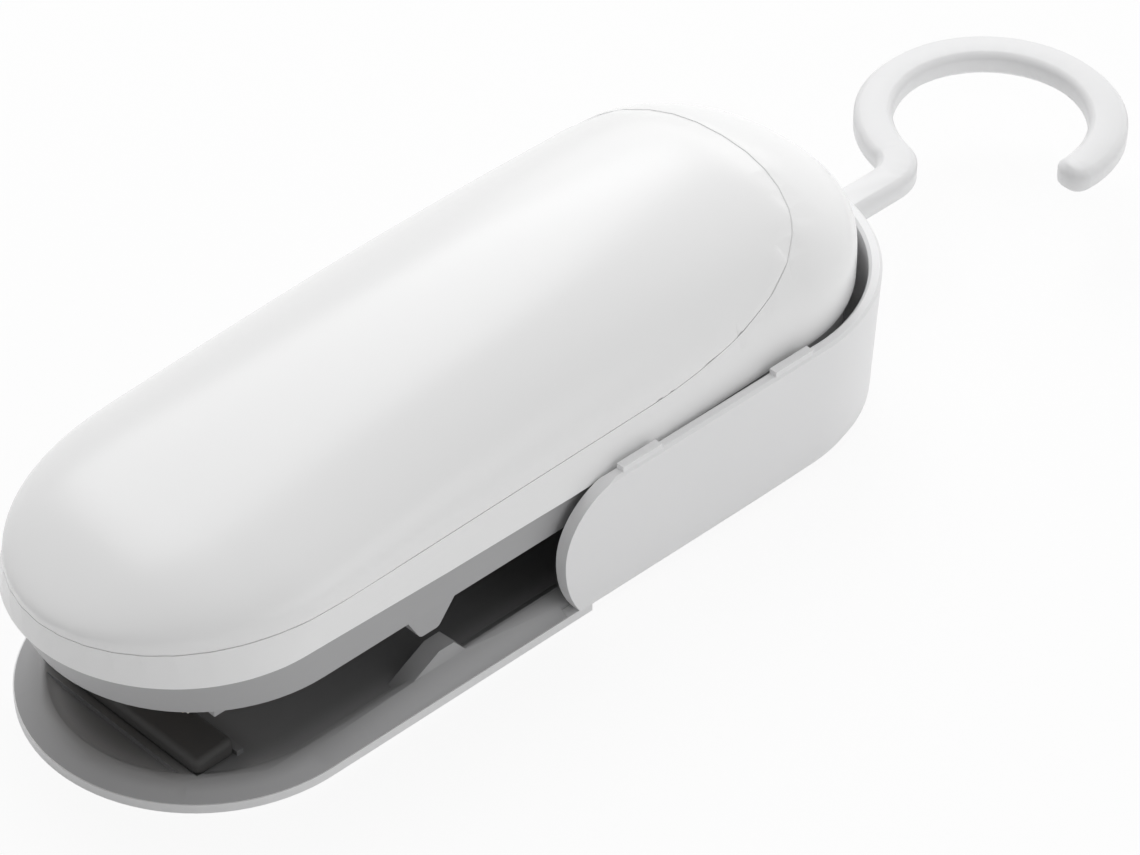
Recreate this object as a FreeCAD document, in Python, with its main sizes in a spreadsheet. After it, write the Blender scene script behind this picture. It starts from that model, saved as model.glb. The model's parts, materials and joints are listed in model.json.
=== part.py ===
import FreeCAD, Part
import Sketcher
import os
from math import cos, pi, sin, sqrt
from types import SimpleNamespace

# Hand-held heat sealer for bags: a white capsule on a hinge, a grey mouth at its front, a hook at its rear.
# X runs from the mouth (-X) to the hook (+X), Y across, Z up from the sole; the origin is mid-sole.

# Driving dimensions in millimetres and degrees: alias, value, meaning
SIZES = (
    ("jaw_radius", 18.0, "plan radius of the lower jaw, half of its width"),
    ("front_arc_x", -32.45, "centre of the jaw's front arc"),
    ("rear_arc_x", 31.05, "centre of the base's rear arc"),
    ("base_radius", 18.56, "plan radius of the base shell at the sole"),
    ("shell_height", 16.3, "height of the cheeks"),
    ("shell_draft", 3.0, "outward lean of the cheeks"),
    ("shell_wall", 1.3, "wall of the base shell"),
    ("plate_thickness", 1.0, "white plate under the jaw"),
    ("plate_rear_x", 0.8, "rear end of that plate, under the cheeks"),
    ("sole_rounding", 2.4, "rounding along the sole's rear edge"),
    ("rim_bevel", 0.3, "bevel along the top of the cheeks"),
    ("cheek_front_x", -3.7, "foremost point of the cheeks"),
    ("cheek_mid_z", 9.0, "height of that point"),
    ("cheek_top_radius", 7.3, "rounding of the cheek's upper front corner"),
    ("cheek_low_radius", 13.0, "curve of the cheek's lower front edge"),
    ("tab_height", 0.55, "raised tabs on the cheek's top edge"),
    ("tab_one_x", 3.6, "front end of the first tab"),
    ("tab_two_x", 24.1, "front end of the second tab"),
    ("tab_length", 5.1, "length of a tab"),
    ("hinge_x", 40.0, "hinge axis, along the part"),
    ("hinge_z", 7.0, "hinge axis, above the sole"),
    ("pin_radius", 1.25, "hinge pin"),
    ("pin_length", 27.2, "hinge pin, end to end"),
    ("running_gap", 0.05, "radial clearance on pins and necks"),
    ("lug_radius", 2.4, "eye of a hinge lug or ear"),
    ("lug_inner_y", 11.4, "inner face of a hinge lug"),
    ("lug_thickness", 2.2, "hinge lug of the base"),
    ("ear_inner_y", 9.2, "inner face of a hinge ear"),
    ("ear_thickness", 1.8, "hinge ear of the frame"),
    ("hook_z", 10.5, "hook's axis above the sole"),
    ("neck_radius", 1.9, "hook's neck in the rear wall"),
    ("head_radius", 3.1, "snap head on the hook's neck"),
    ("head_thickness", 0.7, "snap head"),
    ("head_x", 47.6, "inner face of the snap head"),
    ("stem_x", 51.0, "start of the hook's strip behind the wall"),
    ("ring_x", 75.95, "centre of the hook's ring"),
    ("ring_radius", 12.25, "middle of the hook's strip"),
    ("bend_radius", 4.0, "bend between stem and ring"),
    ("strip_width", 4.1, "hook's strip, in its plane"),
    ("strip_thickness", 2.8, "hook's strip, across its plane"),
    ("strip_bevel", 0.7, "bevel along the hook's strip"),
    ("tray_gap", 0.1, "tray inside the edge of the plate"),
    ("tray_rear_x", 34.0, "rear end of the tray"),
    ("tray_waist_y", 16.8, "half-width of the tray between the cheeks"),
    ("bevel_angle", 59.9, "lean of the tray's outer bevel from upright"),
    ("crest_front_z", 1.95, "tray's crest at the front tip"),
    ("crest_rear_z", 2.95, "tray's crest at its rear end"),
    ("dish_floor_z", 1.45, "floor of the tray's dish"),
    ("dish_radius", 14.4, "plan radius of the dish floor"),
    ("dish_flare", 40.0, "lean of the dish wall from upright"),
    ("dish_bevel", 0.45, "bevel at the foot of the dish wall"),
    ("stop_front_x", -21.6, "foot of the raised stop, front"),
    ("stop_rear_x", -12.8, "foot of the raised stop, rear"),
    ("stop_top_z", 4.1, "top of the raised stop"),
    ("stop_inner_y", 13.5, "inner side of the raised stop"),
    ("stop_thickness", 2.1, "raised stop across"),
    ("spring_x", -9.0, "axis of the return spring"),
    ("spring_radius", 3.2, "return spring, middle of the wire"),
    ("spring_wire", 0.35, "return spring, radius of the wire"),
    ("spring_pitch", 1.5, "return spring, rise of a turn"),
    ("seat_radius", 4.6, "outside of the spring's seat ring"),
    ("seat_wall", 0.8, "wall of the seat ring"),
    ("seat_height", 1.2, "height of the seat ring"),
    ("heater_x", -40.45, "middle of the heater and of the pad"),
    ("pad_length", 22.0, "silicone pad across the jaw"),
    ("pad_width", 4.6, "silicone pad along the part"),
    ("pad_top_z", 3.6, "silicone pad, middle of its top"),
    ("press_angle", 4.0, "travel of the upper jaw"),
    ("rib_thickness", 0.8, "ribs that hold the pad"),
    ("rib_top_z", 1.95, "top of those ribs"),
    ("frame_bottom_z", 11.4, "underside of the upper frame's rim"),
    ("frame_top_z", 15.5, "joint between frame and housing"),
    ("frame_low_radius", 16.95, "frame's plan radius at its underside"),
    ("frame_top_radius", 17.15, "frame's plan radius at its top"),
    ("frame_low_front_x", -32.2, "frame's front arc at its underside"),
    ("frame_top_front_x", -33.85, "frame's front arc at its top"),
    ("frame_rear_x", 29.2, "frame's rear arc"),
    ("frame_wall", 1.6, "wall of the frame"),
    ("frame_floor", 1.2, "floor of the frame"),
    ("belly_bottom_z", 9.85, "underside of the battery bay"),
    ("belly_front_x", -17.5, "front of the battery bay"),
    ("belly_rear_x", 37.3, "rear of the battery bay"),
    ("belly_half_width", 15.3, "half-width of the battery bay"),
    ("belly_wall", 0.8, "wall of the battery bay"),
    ("belly_rounding", 3.0, "upright corners of the battery bay"),
    ("nub_front_x", -22.1, "stop nub, front foot"),
    ("nub_rear_x", -15.4, "stop nub, rear foot"),
    ("nub_tip_front_x", -20.3, "stop nub, front of its tip"),
    ("nub_tip_rear_x", -18.0, "stop nub, rear of its tip"),
    ("nub_tip_z", 8.8, "stop nub, lowest point"),
    ("nub_inner_y", 15.2, "inner face of the stop nub"),
    ("nub_thickness", 1.7, "stop nub across"),
    ("nub_rounding", 0.7, "rounding of the nub's corners"),
    ("peg_half_x", 0.9, "peg beside the heater, along the part"),
    ("peg_inner_y", 11.5, "inner face of that peg"),
    ("peg_thickness", 0.8, "that peg across"),
    ("peg_low_z", 9.25, "lower end of that peg"),
    ("window_half_x", 3.1, "heater window in the frame, along the part"),
    ("window_half_y", 11.4, "heater window in the frame, across"),
    ("screw_front_x", -27.0, "front housing screws"),
    ("screw_front_y", 13.4, "front housing screws, off the centre line"),
    ("screw_rear_x", 41.5, "rear housing screw"),
    ("pillar_radius", 2.5, "pillar round a screw"),
    ("shank_radius", 0.95, "housing screw"),
    ("screw_head_radius", 1.9, "housing screw's head"),
    ("screw_head_height", 1.2, "housing screw's head"),
    ("screw_top_z", 18.2, "end of the screw"),
    ("recess_radius", 2.1, "recess for a screw's head"),
    ("recess_depth", 2.0, "recess for a screw's head"),
    ("skirt_half_width", 17.25, "housing at its lower edge"),
    ("skirt_front_tip_x", -51.1, "housing's front tip at its lower edge"),
    ("skirt_front_x", -33.85, "where the lower edge starts to round to the front"),
    ("skirt_rear_x", 29.85, "where the lower edge starts to round to the rear"),
    ("skirt_rear_tip_x", 47.85, "housing's rear tip at its lower edge"),
    ("rim_z", 19.5, "height where the dome starts to round over"),
    ("rim_half_width", 17.2, "housing at that height"),
    ("rim_front_tip_x", -51.05, "front tip at that height"),
    ("rim_front_x", -29.9, "where that outline starts to round to the front"),
    ("rim_rear_x", 31.45, "where that outline starts to round to the rear"),
    ("rim_rear_tip_x", 47.15, "rear tip at that height"),
    ("crown_z", 30.45, "highest point of the dome"),
    ("crown_x", 16.4, "place of the highest point"),
    ("crown_radius", 258.6, "curve of the dome's ridge"),
    ("nose_length", 11.05, "length over which the ridge drops to the front tip"),
    ("tail_length", 17.65, "length over which the ridge drops to the rear tip"),
    ("dome_fullness", 2.2, "exponent of the dome's rounded section"),
    ("dome_wall", 1.5, "wall of lid and housing"),
    ("seam_front_z", 18.7, "lid seam at the front tip"),
    ("seam_bend_x", 9.5, "where the lid seam starts to sweep up"),
    ("seam_bend_z", 19.9, "height of the seam there"),
    ("seam_sweep", 45.0, "radius of the upward sweep"),
    ("seam_gap", 0.2, "open joint between lid and housing"),
    ("cell_radius", 7.0, "AA cell"),
    ("cell_length", 50.5, "AA cell with its tip"),
    ("cell_tip_radius", 2.75, "AA cell's positive tip"),
    ("cell_tip_height", 1.0, "AA cell's positive tip"),
    ("cell_edge", 0.6, "rolled edge of an AA cell"),
    ("cell_y", 7.6, "cell's axis, off the centre line"),
    ("cell_z", 18.4, "cell's axis above the sole"),
    ("contact_front_x", -16.6, "front contact plates, face to the cells"),
    ("contact_rear_x", 35.6, "bridge plate, face to the cells"),
    ("contact_thickness", 0.5, "contact plates"),
    ("contact_half_width", 4.8, "front contact plates"),
    ("contact_low_z", 12.8, "lower edge of the contact plates"),
    ("contact_high_z", 23.4, "upper edge of the contact plates"),
    ("bridge_half_width", 12.2, "bridge plate"),
    ("coil_radius", 3.0, "contact coil, middle of the wire"),
    ("coil_wire", 0.25, "contact coil, radius of the wire"),
    ("coil_pitch", 0.62, "contact coil, rise of a turn"),
    ("coil_turns", 1.75, "turns of a contact coil"),
    ("block_half_x", 2.6, "heater block along the part"),
    ("block_half_y", 10.6, "heater block across"),
    ("block_low_z", 9.62, "underside of the heater block"),
    ("block_high_z", 13.8, "top of the heater block"),
    ("flange_half_x", 3.9, "flange of the heater block along the part"),
    ("flange_half_y", 9.0, "flange of the heater block across"),
    ("strip_thin", 0.15, "heating strip"),
    ("strip_half_x", 1.2, "heating strip along the part"),
    ("strip_top_z", 15.2, "ends of the heating strip"),
    ("tape_thin", 0.1, "non-stick tape"),
    ("tape_half_y", 10.0, "non-stick tape across"),
    ("tape_top_z", 12.2, "ends of the tape in the window"),
    ("switch_arm", 20.0, "switch in front of the hinge"),
    ("switch_half_x", 3.2, "switch body along the part"),
    ("switch_half_y", 2.0, "switch body across"),
    ("switch_top_z", 13.9, "top of the switch body"),
    ("switch_bore_z", 12.7, "end of the bore in the switch body"),
    ("plunger_radius", 0.9, "switch plunger"),
    ("plunger_low_z", 8.35, "tip of the switch plunger"),
    ("plunger_high_z", 10.95, "top of the switch plunger"),
    ("post_radius", 1.6, "post under the plunger"),
    ("post_top_z", 8.2, "top of that post"),
    ("lead_radius", 0.55, "lead wire over its insulation"),
    ("lead_bend", 2.2, "bend of a lead wire"),
    ("lead_stand_off", 0.77, "lead's axis off the strip's end"),
    ("lead_start", 3.0, "straight start of the switch lead"),
    ("lead_run", 8.0, "leads from the heater to their first bend"),
    ("lead_drift", 1.7, "small sideways shift of a lead"),
    ("lead_rise", 0.5, "rise of a lead at its first bend"),
    ("lead_end", 7.0, "straight end of the positive lead"),
    ("lead_turn", 4.5, "negative lead's crossing in front of the contacts"),
    ("lead_lift", 1.0, "negative lead's rise to its contact"),
)

# Sections along the dome and points over each section, outside and inside
OUTSIDE_NET = (33, 19)
INSIDE_NET = (15, 9)
# Decimal places that bring the dome's two tips to a true point
TIP_PLACES = 5
# Flat sides that stand for a round wire, and straight runs that stand for a turn of a coil
WIRE_SIDES = 6
RUNS_PER_TURN = 12
# Shares of the sole's rounding that its first bevel and the finer bevels on it take
FIRST_BEVEL = 0.63
FINE_BEVEL = 0.27
# Run of the raised stop's front and rear slopes for each unit of height
STOP_FRONT_RUN = 1.8
STOP_REAR_RUN = 0.8
# Angle round the hook's ring, from its rear end to the tip
HOOK_OPEN_ANGLE = 1.75

doc = FreeCAD.newDocument("bag_sealer")
sheet = doc.addObject("Spreadsheet::Sheet", "sizes")
for row, (alias, value, meaning) in enumerate(SIZES, start=1):
    sheet.set(f"A{row}", meaning)
    sheet.set(f"B{row}", str(value))
    sheet.setAlias(f"B{row}", alias)
doc.recompute()


class Dim:
    """A size that knows both its number and the sheet expression that drives it."""

    def __init__(self, text, value):
        self.text = text
        self.value = value

    def __add__(self, other):
        other = as_dim(other)
        return Dim(f"({self.text} + {other.text})", self.value + other.value)

    def __sub__(self, other):
        other = as_dim(other)
        return Dim(f"({self.text} - {other.text})", self.value - other.value)

    def __mul__(self, other):
        other = as_dim(other)
        return Dim(f"({self.text} * {other.text})", self.value * other.value)

    def __neg__(self):
        return Dim(f"(-{self.text})", -self.value)


def as_dim(number):
    return number if isinstance(number, Dim) else Dim(f"({number})", float(number))


s = SimpleNamespace(**{alias: Dim(f"sizes.{alias}", float(sheet.get(alias))) for alias, _, _ in SIZES})
v = SimpleNamespace(**{alias: float(sheet.get(alias)) for alias, _, _ in SIZES})
NODES = []


# Bodies, sketches and features

def node(obj, label):
    obj.Label = label
    NODES.append(obj)
    return obj


def new_body(label):
    return doc.addObject("PartDesign::Body", label)


def origin_plane(body, role):
    return next(item for item in body.Origin.OriginFeatures if item.Role == role)


def new_sketch(body, name, role, offset=None):
    sketch = body.newObject("Sketcher::SketchObject", name)
    sketch.AttachmentSupport = (origin_plane(body, role), [""])
    sketch.MapMode = "FlatFace"
    if offset is not None:
        sketch.setExpression("AttachmentOffset.Base.z", as_dim(offset).text)
    return sketch


def bind(sketch, constraint, dim):
    index = sketch.addConstraint(constraint)
    sketch.setExpression(f"Constraints[{index}]", dim.text)


def pin_point(sketch, geo, end, x, y):
    """Fix one point of a sketch at sheet-driven coordinates."""
    x, y = as_dim(x), as_dim(y)
    bind(sketch, Sketcher.Constraint("DistanceX", -1, 1, geo, end, x.value), x)
    bind(sketch, Sketcher.Constraint("DistanceY", -1, 1, geo, end, y.value), y)


def flat(x, y):
    return FreeCAD.Vector(as_dim(x).value, as_dim(y).value, 0)


def polygon(sketch, corners):
    """Closed outline of straight sides, every corner driven by the sheet."""
    lines = []
    for start, end in zip(corners, corners[1:] + corners[:1]):
        lines.append(sketch.addGeometry(Part.LineSegment(flat(*start), flat(*end))))
    for line, following, corner in zip(lines, lines[1:] + lines[:1], corners):
        sketch.addConstraint(Sketcher.Constraint("Coincident", line, 2, following, 1))
        pin_point(sketch, line, 1, *corner)
    return lines


def rectangle(sketch, x_low, x_high, y_low, y_high):
    polygon(sketch, [(x_low, y_low), (x_high, y_low), (x_high, y_high), (x_low, y_high)])


def centred_rectangle(sketch, x, half_x, half_y):
    rectangle(sketch, x - half_x, x + half_x, -half_y, half_y)


def rounded_rectangle(sketch, x_low, x_high, y_low, y_high, radius):
    """Rectangle with round corners; each corner's centre is driven by the sheet."""
    centres = [(x_high - radius, y_high - radius), (x_low + radius, y_high - radius),
               (x_low + radius, y_low + radius), (x_high - radius, y_low + radius)]
    corners = []
    for quarter, centre in enumerate(centres):
        start = quarter * pi / 2
        corners.append(sketch.addGeometry(arc_of(*centre, radius.value, start, start + pi / 2)))
        pin_point(sketch, corners[-1], 3, *centre)
        bind(sketch, Sketcher.Constraint("Radius", corners[-1], radius.value), radius)
    for corner, following in zip(corners, corners[1:] + corners[:1]):
        start, end = sketch.getPoint(corner, 2), sketch.getPoint(following, 1)
        side = sketch.addGeometry(Part.LineSegment(start, end))
        sketch.addConstraint(Sketcher.Constraint("Tangent", corner, 2, side, 1))
        sketch.addConstraint(Sketcher.Constraint("Tangent", side, 2, following, 1))


def circle(sketch, x, y, radius):
    geo = sketch.addGeometry(Part.Circle(flat(x, y), FreeCAD.Vector(0, 0, 1), radius.value))
    pin_point(sketch, geo, 3, x, y)
    bind(sketch, Sketcher.Constraint("Radius", geo, radius.value), radius)


def arc_of(x, y, radius, start, end):
    return Part.ArcOfCircle(Part.Circle(flat(x, y), FreeCAD.Vector(0, 0, 1), radius), start, end)


def capsule(sketch, front_x, rear_x, radius, round_rear=True):
    """Outline with a round front and parallel sides; the rear is round or square."""
    r = radius.value
    front = sketch.addGeometry(arc_of(front_x, 0, r, pi / 2, 3 * pi / 2))
    right = sketch.addGeometry(Part.LineSegment(flat(front_x, -r), flat(rear_x, -r)))
    if round_rear:
        rear = sketch.addGeometry(arc_of(rear_x, 0, r, -pi / 2, pi / 2))
    else:
        rear = sketch.addGeometry(Part.LineSegment(flat(rear_x, -r), flat(rear_x, r)))
    left = sketch.addGeometry(Part.LineSegment(flat(rear_x, r), flat(front_x, r)))
    sketch.addConstraint(Sketcher.Constraint("Tangent", front, 2, right, 1))
    sketch.addConstraint(Sketcher.Constraint("Tangent", left, 2, front, 1))
    joint = "Tangent" if round_rear else "Coincident"
    sketch.addConstraint(Sketcher.Constraint(joint, right, 2, rear, 1))
    sketch.addConstraint(Sketcher.Constraint(joint, rear, 2, left, 1))
    sketch.addConstraint(Sketcher.Constraint("Horizontal", right))
    pin_point(sketch, front, 3, front_x, 0)
    bind(sketch, Sketcher.Constraint("Radius", front, r), radius)
    if round_rear:
        bind(sketch, Sketcher.Constraint("DistanceX", -1, 1, rear, 3, rear_x.value), rear_x)
        sketch.addConstraint(Sketcher.Constraint("PointOnObject", rear, 3, -1))
    else:
        sketch.addConstraint(Sketcher.Constraint("Vertical", rear))
        bind(sketch, Sketcher.Constraint("DistanceX", -1, 1, right, 2, rear_x.value), rear_x)
        sketch.addConstraint(Sketcher.Constraint("Horizontal", left))


def half_eye(sketch, x, z, radius, foot_z):
    """Upright lug: an eye of the given radius round (x, z) on a foot at foot_z, above or below it."""
    x, z, foot_z = as_dim(x), as_dim(z), as_dim(foot_z)
    r = radius.value
    standing = foot_z.value < z.value
    start = 0 if standing else pi
    eye = sketch.addGeometry(arc_of(x, z, r, start, start + pi))
    near = x + radius if standing else x - radius
    far = x - radius if standing else x + radius
    first = sketch.addGeometry(Part.LineSegment(flat(far, z), flat(far, foot_z)))
    foot = sketch.addGeometry(Part.LineSegment(flat(far, foot_z), flat(near, foot_z)))
    last = sketch.addGeometry(Part.LineSegment(flat(near, foot_z), flat(near, z)))
    sketch.addConstraint(Sketcher.Constraint("Tangent", eye, 2, first, 1))
    sketch.addConstraint(Sketcher.Constraint("Coincident", first, 2, foot, 1))
    sketch.addConstraint(Sketcher.Constraint("Coincident", foot, 2, last, 1))
    sketch.addConstraint(Sketcher.Constraint("Tangent", last, 2, eye, 1))
    sketch.addConstraint(Sketcher.Constraint("Vertical", first))
    sketch.addConstraint(Sketcher.Constraint("Vertical", last))
    sketch.addConstraint(Sketcher.Constraint("Horizontal", foot))
    pin_point(sketch, eye, 3, x, z)
    bind(sketch, Sketcher.Constraint("Radius", eye, r), radius)
    bind(sketch, Sketcher.Constraint("DistanceY", -1, 1, foot, 1, foot_z.value), foot_z)


def extrude(body, kind, sketch, length, taper=None, reverse=False, both_ways=False):
    feature = body.newObject(f"PartDesign::{kind}", f"{sketch.Name}_{kind.lower()}")
    feature.Profile = sketch
    feature.setExpression("Length", as_dim(length).text)
    feature.Reversed = reverse
    if both_ways:
        feature.SideType = "Symmetric"
    if taper is not None:
        feature.setExpression("TaperAngle", taper.text)
    sketch.Visibility = False
    before = body.Shape.Volume if body.Shape and not body.Shape.isNull() else 0.0
    doc.recompute()
    change = body.Shape.Volume - before
    if change * (1 if kind == "Pad" else -1) < 1e-3:
        raise ValueError(f"{feature.Name} changed the volume by {change:.3f}")
    return feature


def pad(body, sketch, length, **options):
    return extrude(body, "Pad", sketch, length, **options)


def pocket(body, sketch, length, **options):
    return extrude(body, "Pocket", sketch, length, **options)


def mirror_across(body, features):
    mirrored = body.newObject("PartDesign::Mirrored", f"{features[0].Name}_mirrored")
    mirrored.Originals = features
    mirrored.MirrorPlane = (origin_plane(body, "XZ_Plane"), [""])
    body.Tip = mirrored
    doc.recompute()


def dress_edges(body, kind, size, wanted):
    """Round or bevel every edge of the body's present shape that the test accepts."""
    base = body.Tip
    names = [f"Edge{i}" for i, edge in enumerate(base.Shape.Edges, start=1) if wanted(edge)]
    dressed = body.newObject(f"PartDesign::{kind}", f"{base.Name}_{kind.lower()}")
    dressed.Base = (base, names)
    dressed.setExpression("Radius" if kind == "Fillet" else "Size", size.text)
    doc.recompute()
    if not dressed.isValid():
        raise ValueError(f"{dressed.Name} failed on {names}")


def at_height(edge, z):
    return abs(edge.BoundBox.ZMin - z) < 1e-4 and abs(edge.BoundBox.ZMax - z) < 1e-4


# Base: white shell, grey tray, pad

def base_shell():
    body = new_body("base_shell")
    overrun = s.lug_radius * 10

    sole = new_sketch(body, "sole", "XY_Plane")
    rear_half(sole, s.cheek_front_x - s.lug_radius, s.rear_arc_x, s.base_radius)
    pad(body, sole, s.shell_height, taper=s.shell_draft)
    front_face_x = v.cheek_front_x - v.lug_radius
    bevel = s.sole_rounding * FIRST_BEVEL
    dress_edges(body, "Chamfer", bevel, lambda e: at_height(e, 0) and e.BoundBox.XMax > front_face_x + 1)
    dress_edges(body, "Chamfer", s.sole_rounding * FINE_BEVEL,
                lambda e: e.BoundBox.ZMax < bevel.value * 1.2 and e.BoundBox.XMax > front_face_x + 1)

    hollow = new_sketch(body, "hollow", "XY_Plane", s.plate_thickness)
    rear_half(hollow, s.cheek_front_x - overrun, s.rear_arc_x, s.base_radius - s.shell_wall)
    pocket(body, hollow, s.shell_height, taper=s.shell_draft, reverse=True)
    dress_edges(body, "Chamfer", s.rim_bevel, lambda e: at_height(e, v.shell_height) and e.Length > 10)

    nose_trim = new_sketch(body, "nose_trim", "XZ_Plane")
    cheek_profile(nose_trim, overrun)
    pocket(body, nose_trim, s.base_radius * 4, both_ways=True)

    plate = new_sketch(body, "jaw_plate", "XY_Plane")
    capsule(plate, s.front_arc_x, s.plate_rear_x, s.jaw_radius, round_rear=False)
    pad(body, plate, s.plate_thickness)

    tabs = new_sketch(body, "cheek_tabs", "XY_Plane", s.shell_height - s.tab_height)
    for start in (s.tab_one_x, s.tab_two_x):
        for side in (1, -1):
            inner = (s.base_radius - s.shell_wall * 0.2) * side
            outer = (s.base_radius + s.shell_wall * 0.5) * side
            rectangle(tabs, start, start + s.tab_length, inner, outer)
    pad(body, tabs, s.tab_height * 2)

    lug = new_sketch(body, "hinge_lug", "XZ_Plane", s.lug_inner_y)
    half_eye(lug, s.hinge_x, s.hinge_z, s.lug_radius, s.plate_thickness * 0.9)
    mirror_across(body, [pad(body, lug, s.lug_thickness)])

    pin_bore = new_sketch(body, "pin_bore", "XZ_Plane")
    circle(pin_bore, s.hinge_x, s.hinge_z, s.pin_radius)
    pocket(body, pin_bore, s.pin_length, both_ways=True)

    neck_bore = new_sketch(body, "neck_bore", "YZ_Plane", s.head_x)
    circle(neck_bore, as_dim(0), s.hook_z, s.neck_radius + s.running_gap)
    pocket(body, neck_bore, s.shell_wall * 5, reverse=True)

    post = new_sketch(body, "switch_post", "XY_Plane")
    circle(post, s.hinge_x - s.switch_arm, as_dim(0), s.post_radius)
    pad(body, post, s.post_top_z)
    return node(body, "base_shell")


def rear_half(sketch, front_x, rear_x, radius):
    """Outline with a square front and a round rear."""
    r = radius.value
    right = sketch.addGeometry(Part.LineSegment(flat(front_x, -r), flat(rear_x, -r)))
    rear = sketch.addGeometry(arc_of(rear_x, 0, r, -pi / 2, pi / 2))
    left = sketch.addGeometry(Part.LineSegment(flat(rear_x, r), flat(front_x, r)))
    front = sketch.addGeometry(Part.LineSegment(flat(front_x, r), flat(front_x, -r)))
    sketch.addConstraint(Sketcher.Constraint("Tangent", right, 2, rear, 1))
    sketch.addConstraint(Sketcher.Constraint("Tangent", rear, 2, left, 1))
    sketch.addConstraint(Sketcher.Constraint("Coincident", left, 2, front, 1))
    sketch.addConstraint(Sketcher.Constraint("Coincident", front, 2, right, 1))
    sketch.addConstraint(Sketcher.Constraint("Horizontal", right))
    sketch.addConstraint(Sketcher.Constraint("Horizontal", left))
    sketch.addConstraint(Sketcher.Constraint("Vertical", front))
    pin_point(sketch, rear, 3, rear_x, 0)
    bind(sketch, Sketcher.Constraint("Radius", rear, r), radius)
    bind(sketch, Sketcher.Constraint("DistanceX", -1, 1, right, 1, front_x.value), front_x)


def cheek_profile(sketch, overrun):
    """Everything in front of the cheeks' curved front edge, seen from the side."""
    top_x = s.cheek_front_x + s.cheek_top_radius
    low_x = s.cheek_front_x + s.cheek_low_radius
    top_r, low_r = v.cheek_top_radius, v.cheek_low_radius
    foot_x = low_x.value - sqrt(low_r ** 2 - v.cheek_mid_z ** 2)
    turn = pi + sin_angle(v.cheek_mid_z, low_r)
    top = sketch.addGeometry(arc_of(top_x, s.cheek_mid_z, top_r, pi / 2, pi))
    low = sketch.addGeometry(arc_of(low_x, s.cheek_mid_z, low_r, pi, turn))
    far_x, high_z = s.cheek_front_x - overrun, s.shell_height + s.cheek_top_radius
    outline = [(foot_x, 0), (foot_x, -s.sole_rounding), (far_x, -s.sole_rounding), (far_x, high_z),
               (top_x, high_z), (top_x, s.cheek_mid_z + s.cheek_top_radius)]
    lines = [sketch.addGeometry(Part.LineSegment(flat(*a), flat(*b))) for a, b in zip(outline, outline[1:])]
    for line, following in zip(lines, lines[1:]):
        sketch.addConstraint(Sketcher.Constraint("Coincident", line, 2, following, 1))
    sketch.addConstraint(Sketcher.Constraint("Coincident", low, 2, lines[0], 1))
    sketch.addConstraint(Sketcher.Constraint("Coincident", lines[-1], 2, top, 1))
    sketch.addConstraint(Sketcher.Constraint("Tangent", top, 2, low, 1))
    sketch.addConstraint(Sketcher.Constraint("PointOnObject", lines[0], 1, -1))
    for upright in (lines[0], lines[2], lines[4]):
        sketch.addConstraint(Sketcher.Constraint("Vertical", upright))
    pin_point(sketch, top, 3, top_x, s.cheek_mid_z)
    pin_point(sketch, low, 3, low_x, s.cheek_mid_z)
    bind(sketch, Sketcher.Constraint("Radius", top, top_r), s.cheek_top_radius)
    pin_point(sketch, lines[2], 1, far_x, -s.sole_rounding)
    bind(sketch, Sketcher.Constraint("DistanceY", -1, 1, lines[0], 2, -v.sole_rounding), -s.sole_rounding)
    bind(sketch, Sketcher.Constraint("DistanceY", -1, 1, lines[3], 1, high_z.value), high_z)
    bind(sketch, Sketcher.Constraint("DistanceY", -1, 1, lines[3], 2, high_z.value), high_z)
    bind(sketch, Sketcher.Constraint("DistanceX", -1, 1, lines[3], 2, top_x.value), top_x)


def sin_angle(opposite, hypotenuse):
    adjacent = sqrt(hypotenuse ** 2 - opposite ** 2)
    return FreeCAD.Vector(adjacent, opposite, 0).getAngle(FreeCAD.Vector(1, 0, 0))


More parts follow.
